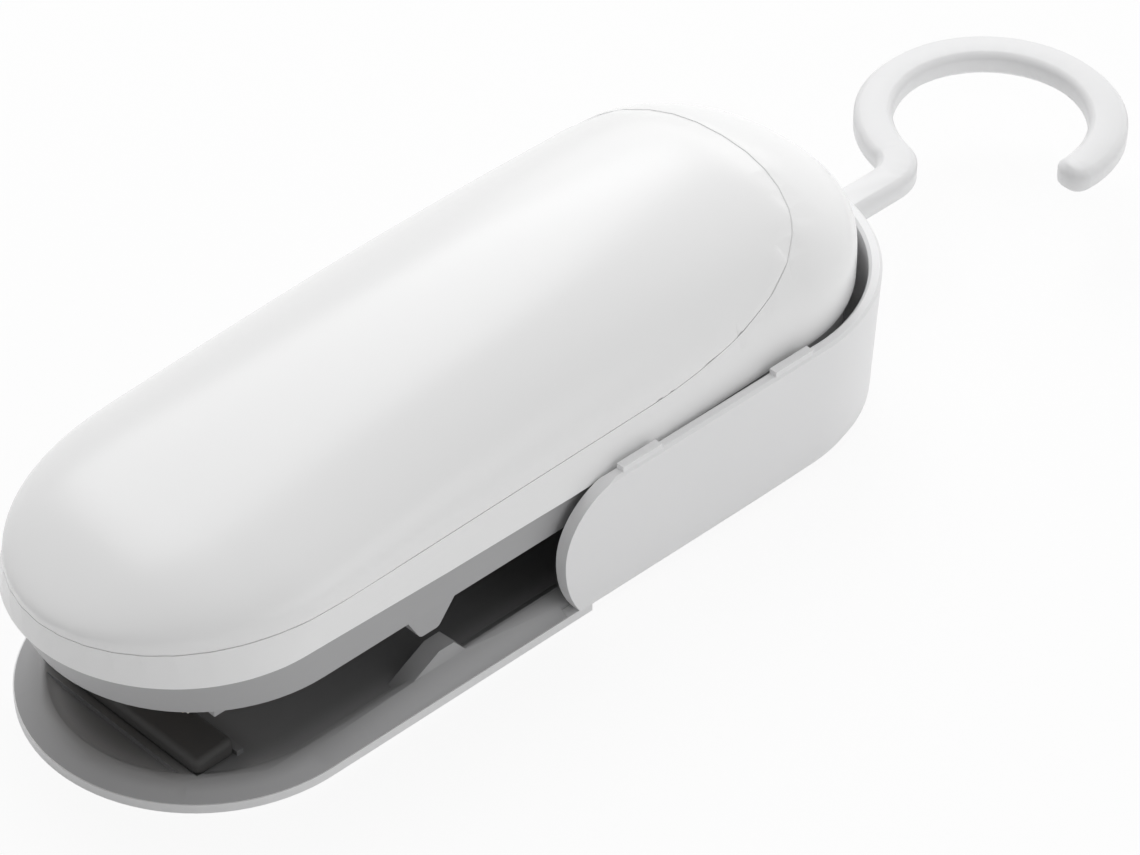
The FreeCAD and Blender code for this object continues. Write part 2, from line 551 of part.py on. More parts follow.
def lower_tray():
    body = new_body("lower_tray")
    deep = s.shell_height

    edge = new_sketch(body, "tray_edge", "XY_Plane", s.plate_thickness)
    capsule(edge, s.front_arc_x, s.tray_rear_x + s.jaw_radius, s.jaw_radius - s.tray_gap, round_rear=False)
    pad(body, edge, s.crest_rear_z, taper=-s.bevel_angle)

    waist = new_sketch(body, "tray_waist", "XY_Plane")
    beyond_x = s.tray_rear_x + s.jaw_radius * 2
    shoulder_x = s.cheek_front_x + s.shell_wall
    for side in (1, -1):
        rectangle(waist, shoulder_x, beyond_x, s.tray_waist_y * side, s.base_radius * 2 * side)
    rectangle(waist, s.tray_rear_x, beyond_x, -s.tray_waist_y, s.tray_waist_y)
    pocket(body, waist, deep, reverse=True)

    crest = new_sketch(body, "tray_crest", "XZ_Plane")
    tip_x = s.front_arc_x - s.jaw_radius
    polygon(crest, [(tip_x, s.crest_front_z), (s.tray_rear_x, s.crest_rear_z),
                    (s.tray_rear_x, deep), (tip_x, deep)])
    pocket(body, crest, s.base_radius * 4, both_ways=True)

    dish = new_sketch(body, "tray_dish", "XY_Plane", s.dish_floor_z)
    capsule(dish, s.front_arc_x, s.tray_rear_x + s.jaw_radius, s.dish_radius, round_rear=False)
    pocket(body, dish, deep, taper=s.dish_flare, reverse=True)
    dress_edges(body, "Chamfer", s.dish_bevel,
                lambda e: at_height(e, v.dish_floor_z) and e.BoundBox.XMin < v.tray_rear_x - 1)

    slot = new_sketch(body, "pad_slot", "XY_Plane", s.dish_floor_z)
    half_x, half_y = s.pad_width * 0.5 + s.tray_gap, s.pad_length * 0.5 + s.tray_gap
    centred_rectangle(slot, s.heater_x, half_x, half_y)
    pocket(body, slot, deep, reverse=True)

    post_hole = new_sketch(body, "post_hole", "XY_Plane")
    circle(post_hole, s.hinge_x - s.switch_arm, as_dim(0), s.post_radius + s.tray_gap)
    pocket(body, post_hole, deep, reverse=True)

    stop = new_sketch(body, "bag_stop", "XZ_Plane", s.stop_inner_y)
    low_z = s.plate_thickness + s.tray_gap * 5
    slope = s.stop_top_z - s.dish_floor_z
    polygon(stop, [(s.stop_front_x, low_z), (s.stop_rear_x, low_z),
                   (s.stop_rear_x - slope * STOP_REAR_RUN, s.stop_top_z),
                   (s.stop_front_x + slope * STOP_FRONT_RUN, s.stop_top_z)])
    mirror_across(body, [pad(body, stop, s.stop_thickness)])

    ribs = new_sketch(body, "pad_ribs", "XY_Plane", s.dish_floor_z)
    for side in (1, -1):
        inner = s.heater_x + (s.pad_width * 0.5 + s.tray_gap) * side
        rectangle(ribs, inner, inner + s.rib_thickness * side, -half_y, half_y)
    pad(body, ribs, s.rib_top_z - s.dish_floor_z)

    seat = new_sketch(body, "spring_seat", "XY_Plane", s.dish_floor_z)
    circle(seat, s.spring_x, as_dim(0), s.seat_radius)
    circle(seat, s.spring_x, as_dim(0), s.seat_radius - s.seat_wall)
    pad(body, seat, s.seat_height)
    return node(body, "lower_tray")


def silicone_pad():
    """Soft pad across the jaw; its top leans so that the closed heater lies flat on it."""
    body = new_body("silicone_pad")
    profile = new_sketch(body, "pad_profile", "XZ_Plane")
    rise = Dim("(0.5 * sizes.pad_width * tan(sizes.press_angle * 1 deg))",
               0.5 * v.pad_width * sin(v.press_angle * pi / 180) / cos(v.press_angle * pi / 180))
    front, rear = s.heater_x - s.pad_width * 0.5, s.heater_x + s.pad_width * 0.5
    polygon(profile, [(front, s.dish_floor_z), (rear, s.dish_floor_z), (rear, s.pad_top_z + rise),
                      (front, s.pad_top_z - rise)])
    pad(body, profile, s.pad_length, both_ways=True)
    return node(body, "silicone_pad")


def hinge_pin():
    pin = doc.addObject("Part::Cylinder", "hinge_pin")
    pin.setExpression("Radius", s.pin_radius.text)
    pin.setExpression("Height", s.pin_length.text)
    pin.Placement = FreeCAD.Placement(FreeCAD.Vector(v.hinge_x, v.pin_length / 2, v.hinge_z),
                                      FreeCAD.Rotation(FreeCAD.Vector(1, 0, 0), 90))
    return node(pin, "hinge_pin")


def sweep_wire(path, radius, start, heading):
    """Solid wire of a few flat sides along a path that starts at the given point and heading."""
    frame = FreeCAD.Placement(start, FreeCAD.Rotation(FreeCAD.Vector(0, 0, 1), heading))
    turn = 2 * pi / WIRE_SIDES
    corners = [frame.multVec(FreeCAD.Vector(radius * cos(turn * i), radius * sin(turn * i), 0))
               for i in range(WIRE_SIDES)]
    return path.makePipeShell([Part.makePolygon(corners + corners[:1])], True, True)


def facet(*corners):
    return Part.Face(Part.makePolygon([*corners, corners[0]]))


def facet_band(rings):
    """Flat facets between neighbouring rows of points, split along the shorter diagonal."""
    faces = []
    for ring, after in zip(rings, rings[1:]):
        for a, b, c, d in zip(ring, ring[1:], after[1:], after):
            if a.distanceToPoint(c) < b.distanceToPoint(d):
                halves = (a, b, c), (a, c, d)
            else:
                halves = (a, b, d), (b, c, d)
            faces.extend(facet(*half) for half in halves if is_triangle(*half))
    return faces


def is_triangle(a, b, c):
    return (b - a).cross(c - a).Length > 1e-6


def solid_of(faces):
    shell = Part.makeShell(faces)
    shell.sewShape()
    solid = Part.makeSolid(shell)
    if solid.Volume < 0:
        solid.reverse()
    return solid


def coil(radius, wire, pitch, turns):
    """Wire of a few flat sides, wound in short straight runs into an open coil that stands on Z."""
    runs = round(turns * RUNS_PER_TURN)
    sides = [2 * pi * (i % WIRE_SIDES) / WIRE_SIDES for i in range(WIRE_SIDES + 1)]
    rings = []
    for share in (run / runs for run in range(runs + 1)):
        turned = 2 * pi * turns * share
        centre_z = pitch * turns * share
        section = [(radius + wire * cos(side), centre_z + wire * sin(side)) for side in sides]
        rings.append([FreeCAD.Vector(reach * cos(turned), reach * sin(turned), z) for reach, z in section])
    ends = [facet(*ring[:-1]) for ring in (rings[0], rings[-1])]
    return solid_of(facet_band(rings) + ends)


def return_spring():
    spring = doc.addObject("Part::Feature", "return_spring")
    low = v.dish_floor_z + v.spring_wire * 1.2
    room = v.belly_bottom_z - v.spring_wire * 1.2 - low
    turns = room / v.spring_pitch
    spring.Shape = coil(v.spring_radius, v.spring_wire, v.spring_pitch, turns)
    spring.Placement = FreeCAD.Placement(FreeCAD.Vector(v.spring_x, 0, low), FreeCAD.Rotation())
    return node(spring, "return_spring")


# Hook

def hook():
    body = new_body("hook")
    spine = new_sketch(body, "hook_line", "XY_Plane", s.hook_z)
    span = v.ring_radius + v.bend_radius
    bend_x = v.ring_x - sqrt(span ** 2 - v.bend_radius ** 2)
    lean = sin_angle(v.bend_radius, span)
    stem = spine.addGeometry(Part.LineSegment(flat(s.stem_x, 0), flat(bend_x, 0)))
    bend = spine.addGeometry(arc_of(bend_x, s.bend_radius, v.bend_radius, -pi / 2, -lean))
    ring = spine.addGeometry(arc_of(s.ring_x, 0, v.ring_radius, -HOOK_OPEN_ANGLE, pi - lean))
    spine.addConstraint(Sketcher.Constraint("Tangent", stem, 2, bend, 1))
    spine.addConstraint(Sketcher.Constraint("Tangent", bend, 2, ring, 2))
    pin_point(spine, stem, 1, s.stem_x, 0)
    spine.addConstraint(Sketcher.Constraint("PointOnObject", stem, 2, -1))
    bind(spine, Sketcher.Constraint("Radius", bend, v.bend_radius), s.bend_radius)
    bind(spine, Sketcher.Constraint("Radius", ring, v.ring_radius), s.ring_radius)
    pin_point(spine, ring, 3, s.ring_x, 0)
    tip_x = s.ring_x + s.ring_radius * round(cos(HOOK_OPEN_ANGLE), 4)
    bind(spine, Sketcher.Constraint("DistanceX", -1, 1, ring, 1, tip_x.value), tip_x)

    section = new_sketch(body, "hook_section", "YZ_Plane", s.stem_x)
    half_w, half_t = s.strip_width * 0.5, s.strip_thickness * 0.5
    cut = s.strip_bevel
    low, high = s.hook_z - half_t, s.hook_z + half_t
    polygon(section, [(-half_w, low + cut), (cut - half_w, low), (half_w - cut, low), (half_w, low + cut),
                      (half_w, high - cut), (half_w - cut, high), (cut - half_w, high),
                      (-half_w, high - cut)])
    doc.recompute()
    strip = body.newObject("PartDesign::AdditivePipe", "hook_strip")
    strip.Profile = section
    strip.Spine = (spine, [f"Edge{i}" for i in range(1, 4)])
    strip.Mode = "Frenet"
    doc.recompute()

    neck = new_sketch(body, "hook_neck", "YZ_Plane", s.head_x)
    circle(neck, as_dim(0), s.hook_z, s.neck_radius)
    pad(body, neck, s.stem_x - s.head_x + s.strip_thickness * 0.5)
    head = new_sketch(body, "hook_head", "YZ_Plane", s.head_x)
    circle(head, as_dim(0), s.hook_z, s.head_radius)
    pad(body, head, s.head_thickness)
    return node(body, "hook")


# Upper jaw: grey frame

def upper_frame():
    body = new_body("upper_frame")
    floor_z = s.frame_bottom_z + s.frame_floor

    low = new_sketch(body, "frame_low", "XY_Plane", s.frame_bottom_z)
    capsule(low, s.frame_low_front_x, s.frame_rear_x, s.frame_low_radius)
    top = new_sketch(body, "frame_top", "XY_Plane", s.frame_top_z)
    capsule(top, s.frame_top_front_x, s.frame_rear_x, s.frame_top_radius)
    band = body.newObject("PartDesign::AdditiveLoft", "frame_band")
    band.Profile = low
    band.Sections = [top]
    band.Ruled = True
    doc.recompute()

    hollow = new_sketch(body, "frame_hollow", "XY_Plane", floor_z)
    capsule(hollow, s.frame_low_front_x, s.frame_rear_x, s.frame_low_radius - s.frame_wall)
    pocket(body, hollow, s.frame_top_z, reverse=True)

    belly = new_sketch(body, "battery_bay", "XY_Plane", s.belly_bottom_z)
    rounded_rectangle(belly, s.belly_front_x, s.belly_rear_x, -s.belly_half_width, s.belly_half_width,
                      s.belly_rounding)
    pad(body, belly, floor_z - s.belly_bottom_z - s.frame_floor * 0.5)

    bay = new_sketch(body, "bay_hollow", "XY_Plane", s.belly_bottom_z + s.frame_floor)
    bay_half = s.belly_half_width - s.belly_wall * 0.5
    rounded_rectangle(bay, s.belly_front_x + s.belly_wall, s.belly_rear_x - s.belly_wall, -bay_half, bay_half,
                      s.belly_rounding - s.belly_wall)
    pocket(body, bay, floor_z - s.belly_bottom_z, reverse=True)

    ear = new_sketch(body, "hinge_ear", "XZ_Plane", s.ear_inner_y)
    half_eye(ear, s.hinge_x, s.hinge_z, s.lug_radius, s.frame_bottom_z + s.frame_floor * 0.5)
    mirror_across(body, [pad(body, ear, s.ear_thickness)])

    pin_bore = new_sketch(body, "ear_bore", "XZ_Plane")
    circle(pin_bore, s.hinge_x, s.hinge_z, s.pin_radius + s.running_gap)
    pocket(body, pin_bore, s.lug_inner_y * 2, both_ways=True)

    nub = new_sketch(body, "stop_nub", "XZ_Plane", s.nub_inner_y)
    rim_z = s.frame_bottom_z + s.frame_floor * 0.5
    polygon(nub, [(s.nub_front_x, rim_z), (s.nub_tip_front_x, s.nub_tip_z), (s.nub_tip_rear_x, s.nub_tip_z),
                  (s.nub_rear_x, rim_z)])
    nub_pad = pad(body, nub, s.nub_thickness)
    mirror_across(body, [nub_pad])
    dress_edges(body, "Fillet", s.nub_rounding, is_nub_tip)

    window = new_sketch(body, "heater_window", "XY_Plane")
    centred_rectangle(window, s.heater_x, s.window_half_x, s.window_half_y)
    pocket(body, window, floor_z, reverse=True)

    pegs = new_sketch(body, "mouth_pegs", "XY_Plane", s.frame_bottom_z)
    for side in (1, -1):
        ends = (s.peg_inner_y * side, (s.peg_inner_y + s.peg_thickness) * side)
        rectangle(pegs, s.heater_x - s.peg_half_x, s.heater_x + s.peg_half_x, *ends)
    pad(body, pegs, s.frame_bottom_z - s.peg_low_z, reverse=True)

    plunger_hole = new_sketch(body, "plunger_hole", "XY_Plane")
    circle(plunger_hole, s.hinge_x - s.switch_arm, as_dim(0), s.plunger_radius + s.running_gap * 4)
    pocket(body, plunger_hole, s.frame_top_z, reverse=True)

    screw_features(body, floor_z)
    return node(body, "upper_frame")


def is_nub_tip(edge):
    box = edge.BoundBox
    across = box.XLength < 1e-4 and box.ZLength < 1e-4 and abs(box.YLength - v.nub_thickness) < 1e-3
    return across and abs(box.ZMin - v.nub_tip_z) < 1e-4


def screw_places():
    return ((s.screw_front_x, s.screw_front_y), (s.screw_front_x, -s.screw_front_y),
            (s.screw_rear_x, as_dim(0)))


def screw_features(body, floor_z):
    """Pillars on the frame's floor, each with a recess for the screw's head and a hole for its shank."""
    pillars = new_sketch(body, "screw_pillars", "XY_Plane", floor_z - s.frame_floor * 0.5)
    recesses = new_sketch(body, "screw_recesses", "XY_Plane")
    shanks = new_sketch(body, "screw_holes", "XY_Plane")
    for x, y in screw_places():
        circle(pillars, x, y, s.pillar_radius)
        circle(recesses, x, y, s.recess_radius)
        circle(shanks, x, y, s.shank_radius + s.running_gap)
    pad(body, pillars, s.frame_top_z - floor_z + s.frame_floor * 0.5)
    pocket(body, recesses, s.frame_bottom_z + s.recess_depth, reverse=True)
    pocket(body, shanks, s.frame_top_z, reverse=True)


# Upper jaw: white lid and housing, cut from one dome

def plan_half_width(x, plan):
    """Half-width of a plan outline: straight sides and an elliptical end at front and rear."""
    if x < plan.front:
        share = (x - plan.front) / (plan.front - plan.front_tip)
    elif x > plan.rear:
        share = (x - plan.rear) / (plan.rear_tip - plan.rear)
    else:
        share = 0.0
    return plan.half * sqrt(max(0.0, 1.0 - share * share))


def stations(plan, count):
    """Places along X, closer together towards the two tips."""
    middle = (plan.front_tip + plan.rear_tip) / 2
    reach = (plan.rear_tip - plan.front_tip) / 2
    return [middle - reach * cos(pi * i / (count - 1)) for i in range(count)]


def ridge_height(x, plan, crown_z):
    """Height of the dome's ridge over the rim plane."""
    height = crown_z - (x - v.crown_x) ** 2 / (2 * v.crown_radius) - v.rim_z
    nose = plan.front_tip + v.nose_length - x
    tail = x - plan.rear_tip + v.tail_length
    drop = max(0.0, nose / v.nose_length, tail / v.tail_length)
    return height * sqrt(max(0.0, 1.0 - drop * drop))


def signed_power(value, power):
    return abs(value) ** power * (1 if value >= 0 else -1)


def dome_solid(inset, low_z, net):
    """Solid under the dome in flat facets: rounded cap above the rim plane, straight walls below it."""
    rim = SimpleNamespace(half=v.rim_half_width - inset, front=v.rim_front_x, rear=v.rim_rear_x,
                          front_tip=v.rim_front_tip_x + inset, rear_tip=v.rim_rear_tip_x - inset)
    skirt = SimpleNamespace(half=v.skirt_half_width - inset, front=v.skirt_front_x, rear=v.skirt_rear_x,
                            front_tip=v.skirt_front_tip_x + inset, rear_tip=v.skirt_rear_tip_x - inset)
    power = 2 / v.dome_fullness
    rows, across = net
    angles = [pi * j / (across - 1) for j in range(1, across - 1)]
    arches = []
    for x, low_x in zip(stations(rim, rows), stations(skirt, rows)):
        half = round(plan_half_width(x, rim), TIP_PLACES)
        height = round(ridge_height(x, rim, v.crown_z - inset), TIP_PLACES)
        low_half = round(plan_half_width(low_x, skirt), TIP_PLACES)
        roof = [FreeCAD.Vector(x, half * signed_power(cos(a), power), v.rim_z + height * sin(a) ** power)
                for a in angles]
        arches.append([FreeCAD.Vector(low_x, low_half, low_z), FreeCAD.Vector(x, half, v.rim_z), *roof,
                       FreeCAD.Vector(x, -half, v.rim_z), FreeCAD.Vector(low_x, -low_half, low_z)])
    floor = facet(*(arch[0] for arch in arches), *(arch[-1] for arch in arches[-2:0:-1]))
    return solid_of(facet_band(arches) + [floor])


def dome_feature(name, inset, low_z, net):
    feature = doc.addObject("Part::Feature", name)
    feature.Shape = dome_solid(inset, low_z, net)
    return feature


def above_seam(name, lift):
    """Block that holds everything above the lid's seam, raised by the open joint."""
    body = new_body(name)
    sketch = new_sketch(body, f"{name}_profile", "XZ_Plane")
    front_x, high_z = s.skirt_front_tip_x - s.dome_wall, s.crown_z + s.dome_wall * 4
    start_z, bend_z = s.seam_front_z + lift, s.seam_bend_z + lift
    run = v.seam_bend_x - front_x.value
    climb = bend_z.value - start_z.value
    lean = sin_angle(climb, sqrt(run * run + climb * climb))
    centre = (v.seam_bend_x - v.seam_sweep * sin(lean), bend_z.value + v.seam_sweep * cos(lean))
    sweep_end = sqrt(v.seam_sweep ** 2 - (high_z.value - centre[1]) ** 2)
    end_angle = sin_angle(high_z.value - centre[1], v.seam_sweep)
    end_x = centre[0] + sweep_end
    seam = sketch.addGeometry(Part.LineSegment(flat(front_x, start_z), flat(s.seam_bend_x, bend_z)))
    sweep = sketch.addGeometry(arc_of(centre[0], centre[1], v.seam_sweep, lean - pi / 2, -end_angle))
    roof = sketch.addGeometry(Part.LineSegment(flat(end_x, high_z), flat(front_x, high_z)))
    front = sketch.addGeometry(Part.LineSegment(flat(front_x, high_z), flat(front_x, start_z)))
    sketch.addConstraint(Sketcher.Constraint("Tangent", seam, 2, sweep, 1))
    sketch.addConstraint(Sketcher.Constraint("Coincident", sweep, 2, roof, 1))
    sketch.addConstraint(Sketcher.Constraint("Coincident", roof, 2, front, 1))
    sketch.addConstraint(Sketcher.Constraint("Coincident", front, 2, seam, 1))
    sketch.addConstraint(Sketcher.Constraint("Horizontal", roof))
    sketch.addConstraint(Sketcher.Constraint("Vertical", front))
    pin_point(sketch, seam, 1, front_x, start_z)
    pin_point(sketch, seam, 2, s.seam_bend_x, bend_z)
    bind(sketch, Sketcher.Constraint("Radius", sweep, v.seam_sweep), s.seam_sweep)
    bind(sketch, Sketcher.Constraint("DistanceY", -1, 1, roof, 1, high_z.value), high_z)
    pad(body, sketch, s.base_radius * 4, both_ways=True)
    return body


def boolean(kind, name, base, tool):
    result = doc.addObject(f"Part::{kind}", name)
    result.Base = base
    result.Tool = tool
    doc.recompute()
    return result


def upright(name, x, y, radius, low_z, high_z):
    """Upright cylinder between two heights."""
    cylinder = doc.addObject("Part::Cylinder", name)
    cylinder.setExpression("Radius", radius.text)
    cylinder.setExpression("Height", (high_z - low_z).text)
    for axis, dim in zip("xyz", (x, y, low_z)):
        cylinder.setExpression(f"Placement.Base.{axis}", dim.text)
    return cylinder


def lid_and_housing():
    outer = dome_feature("dome_outside", 0.0, v.frame_top_z, OUTSIDE_NET)
    inner = dome_feature("dome_inside", v.dome_wall, v.frame_top_z - v.dome_wall, INSIDE_NET)
    shell = boolean("Cut", "dome_shell", outer, inner)
    lid = boolean("Common", "top_lid", shell, above_seam("lid_side", s.seam_gap))
    skirt = boolean("Cut", "skirt_shell", shell, above_seam("housing_side", as_dim(0)))
    solids = [skirt]
    tops = (s.rim_z - s.seam_gap * 3, s.rim_z - s.seam_gap * 3, s.rim_z + s.dome_wall * 3)
    for index, ((x, y), top) in enumerate(zip(screw_places(), tops), start=1):
        solids.append(upright(f"housing_pillar_{index}", x, y, s.pillar_radius, s.frame_top_z, top))
    filled = doc.addObject("Part::MultiFuse", "housing_filled")
    filled.Shapes = solids
    holes = doc.addObject("Part::MultiFuse", "housing_holes")
    holes.Shapes = [upright(f"housing_hole_{index}", x, y, s.shank_radius, s.frame_bottom_z, s.screw_top_z)
                    for index, (x, y) in enumerate(screw_places(), start=1)]
    housing = boolean("Cut", "housing", filled, holes)
    return node(lid, "top_lid"), node(housing, "housing")


def housing_screws():
    screws = []
    head_z = s.frame_bottom_z + s.recess_depth - s.screw_head_height
    for index, (x, y) in enumerate(screw_places(), start=1):
        head_top = head_z + s.screw_head_height
        head = upright(f"screw_head_{index}", x, y, s.screw_head_radius, head_z, head_top)
        shank = upright(f"screw_shank_{index}", x, y, s.shank_radius, head_z, s.screw_top_z)
        screws.append(boolean("Fuse", f"screw_{index}", head, shank))
    group = doc.addObject("Part::Compound", "housing_screws")
    group.Links = screws
    return node(group, "housing_screws")


# Power: cells, contacts, switch and leads

def cell(label, y, tip_x, towards_rear):
    """AA cell turned from its half-profile; its tip points along -X before it is placed."""
    body = new_body(label)
    sketch = new_sketch(body, f"{label}_profile", "XZ_Plane")
    shoulder = s.cell_tip_height
    polygon(sketch, [(0, 0), (0, s.cell_tip_radius), (shoulder, s.cell_tip_radius),
                     (shoulder, s.cell_radius - s.cell_edge), (shoulder + s.cell_edge, s.cell_radius),
                     (s.cell_length - s.cell_edge, s.cell_radius),
                     (s.cell_length, s.cell_radius - s.cell_edge), (s.cell_length, 0)])
    turned = body.newObject("PartDesign::Revolution", f"{label}_turned")
    turned.Profile = sketch
    turned.ReferenceAxis = (sketch, ["H_Axis"])
    turned.Angle = 360
    doc.recompute()
    turn = FreeCAD.Rotation(FreeCAD.Vector(0, 0, 1), 180 if towards_rear else 0)
    body.Placement = FreeCAD.Placement(FreeCAD.Vector(tip_x, y, v.cell_z), turn)
    return node(body, label)


def plate(label, face_x, forward, y_low, y_high):
    """Upright contact plate; its face to the cells is at face_x."""
    body = new_body(label)
    sketch = new_sketch(body, f"{label}_outline", "YZ_Plane", face_x)
    rectangle(sketch, y_low, y_high, s.contact_low_z, s.contact_high_z)
    pad(body, sketch, s.contact_thickness, reverse=forward)
    return node(body, label)


def contacts():
    half = s.contact_half_width
    plate("positive_contact", s.contact_front_x, True, s.cell_y - half, s.cell_y + half)
    plate("negative_contact", s.contact_front_x, True, -s.cell_y - half, -s.cell_y + half)
    plate("bridge_contact", s.contact_rear_x, False, -s.bridge_half_width, s.bridge_half_width)
    springs = doc.addObject("Part::Feature", "contact_springs")
    wound = coil(v.coil_radius, v.coil_wire, v.coil_pitch, v.coil_turns)
    stand_off = v.coil_wire * 1.1
    rear_spring, front_spring = wound.copy(), wound.copy()
    along = FreeCAD.Rotation(FreeCAD.Vector(0, 1, 0), 90)
    front_x = v.contact_front_x + stand_off
    rear_x = v.contact_rear_x - stand_off - v.coil_pitch * v.coil_turns
    front_spring.Placement = FreeCAD.Placement(FreeCAD.Vector(front_x, -v.cell_y, v.cell_z), along)
    rear_spring.Placement = FreeCAD.Placement(FreeCAD.Vector(rear_x, v.cell_y, v.cell_z), along)
    springs.Shape = Part.makeCompound([front_spring, rear_spring])
    node(springs, "contact_springs")


def heater():
    block = new_body("heater_block")
    shaft = new_sketch(block, "block_outline", "XY_Plane", s.block_low_z)
    centred_rectangle(shaft, s.heater_x, s.block_half_x, s.block_half_y)
    pad(block, shaft, s.block_high_z - s.block_low_z)
    flange = new_sketch(block, "block_flange", "XY_Plane", s.frame_bottom_z + s.frame_floor)
    centred_rectangle(flange, s.heater_x, s.flange_half_x, s.flange_half_y)
    pad(block, flange, s.block_high_z - s.frame_bottom_z - s.frame_floor)
    node(block, "heater_block")

    strip = new_body("heating_strip")
    bent = new_sketch(strip, "strip_bent", "YZ_Plane", s.heater_x)
    wrap(bent, s.block_half_y, s.strip_thin, s.block_low_z, s.strip_top_z)
    pad(strip, bent, s.strip_half_x * 2, both_ways=True)
    node(strip, "heating_strip")

    tape = new_body("cover_tape")
    folded = new_sketch(tape, "tape_folded", "XZ_Plane")
    wrap(folded, s.block_half_x, s.tape_thin, s.block_low_z - s.strip_thin, s.tape_top_z, s.heater_x)
    pad(tape, folded, s.tape_half_y * 2, both_ways=True)
    node(tape, "cover_tape")


def wrap(sketch, half, thin, under_z, top_z, centre=None):
    """Thin U under a block: across its underside and up both ends."""
    middle = centre if centre is not None else as_dim(0)
    outer, inner = half + thin, half
    polygon(sketch, [(middle - outer, top_z), (middle - outer, under_z - thin),
                     (middle + outer, under_z - thin), (middle + outer, top_z),
                     (middle + inner, top_z), (middle + inner, under_z),
                     (middle - inner, under_z), (middle - inner, top_z)])


def switch():
    switch_x = s.hinge_x - s.switch_arm
    floor_z = s.belly_bottom_z + s.frame_floor
    body = new_body("switch_body")
    outline = new_sketch(body, "switch_outline", "XY_Plane", floor_z)
    centred_rectangle(outline, switch_x, s.switch_half_x, s.switch_half_y)
    pad(body, outline, s.switch_top_z - floor_z)
    bore = new_sketch(body, "switch_bore", "XY_Plane", floor_z)
    circle(bore, switch_x, as_dim(0), s.plunger_radius + s.running_gap)
    pocket(body, bore, s.switch_bore_z - floor_z, reverse=True)
    node(body, "switch_body")
    plunger = upright("switch_plunger", switch_x, as_dim(0), s.plunger_radius,
                      s.plunger_low_z, s.plunger_high_z)
    node(plunger, "switch_plunger")


def rounded_path(points, radius):
    """Straight runs through the points, joined by tangent arcs."""
    edges, start = [], points[0]
    for before, corner, after in zip(points, points[1:], points[2:]):
        back = (before - corner).normalize()
        ahead = (after - corner).normalize()
        half_turn = back.getAngle(ahead) / 2
        reach = radius * cos(half_turn) / sin(half_turn)
        first, last = corner + back * reach, corner + ahead * reach
        middle = (back + ahead).normalize()
        centre = corner + middle * (radius / sin(half_turn))
        edges.append(Part.makeLine(start, first))
        edges.append(Part.Arc(first, centre - middle * radius, last).toShape())
        start = last
    edges.append(Part.makeLine(start, points[-1]))
    return Part.Wire(edges)


def lead(label, points):
    corners = [FreeCAD.Vector(*point) for point in points]
    path = rounded_path(corners, v.lead_bend)
    feature = doc.addObject("Part::Feature", label)
    feature.Shape = sweep_wire(path, v.lead_radius, corners[0], corners[1] - corners[0])
    return node(feature, label)


def leads():
    """Insulated wires inside the frame, from the strip's ends to the contacts and the switch."""
    strip_end_y = v.block_half_y + v.strip_thin + v.lead_stand_off
    strip_end_z = v.strip_top_z - v.lead_radius
    plate_x = v.contact_front_x - v.contact_thickness
    turn_x = plate_x - v.lead_turn
    switch_x = v.hinge_x - v.switch_arm - v.switch_half_x
    lane_y, lane_z = v.switch_half_y * 0.6, v.switch_bore_z + v.lead_radius
    lead("lead_positive", [
        (v.heater_x, strip_end_y, strip_end_z),
        (v.heater_x + v.lead_run, strip_end_y - v.lead_drift, strip_end_z + v.lead_rise),
        (plate_x - v.lead_end, v.cell_y, strip_end_z),
        (plate_x, v.cell_y, strip_end_z)])
    lead("lead_switch", [
        (v.heater_x, -strip_end_y, strip_end_z),
        (v.heater_x + v.lead_start, -strip_end_y, strip_end_z),
        (v.heater_x + v.lead_run, -v.cell_y, strip_end_z + v.lead_rise),
        (v.screw_front_x, lane_y, strip_end_z),
        (v.belly_front_x - v.lead_drift, lane_y, lane_z),
        (switch_x, lane_y, lane_z)])
    lead("lead_negative", [
        (switch_x, -lane_y, lane_z),
        (turn_x, -lane_y, lane_z),
        (turn_x, -v.cell_y, lane_z + v.lead_lift),
        (plate_x, -v.cell_y, lane_z + v.lead_lift)])


def build():
    base_shell()
    lower_tray()
    silicone_pad()
    hinge_pin()
    return_spring()
    hook()
    upper_frame()
    lid_and_housing()
    housing_screws()
    left_tip = v.contact_front_x + v.running_gap
    right_tip = v.contact_rear_x - v.running_gap
    cell("cell_left", v.cell_y, left_tip, False)
    cell("cell_right", -v.cell_y, right_tip, True)
    contacts()
    heater()
    switch()
    leads()
    doc.recompute()


def write_parts():
    for obj in doc.Objects:
        if any(word in ("Invalid", "Error") for word in obj.State):
            raise ValueError(f"{obj.Name} failed: {obj.State}")
    for obj in NODES:
        if obj.Shape.isNull() or not obj.Shape.isValid():
            raise ValueError(f"{obj.Label} has no valid shape")
    os.makedirs("parts", exist_ok=True)
    for obj in NODES:
        obj.Shape.exportStep(os.path.join("parts", f"{obj.Label}.step"))
        print(obj.Label, round(obj.Shape.Volume, 1), len(obj.Shape.Solids))


build()
write_parts()
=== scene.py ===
import json
import bmesh
import bpy
from math import atan2, cos, pi, radians, sin
from mathutils import Matrix, Vector


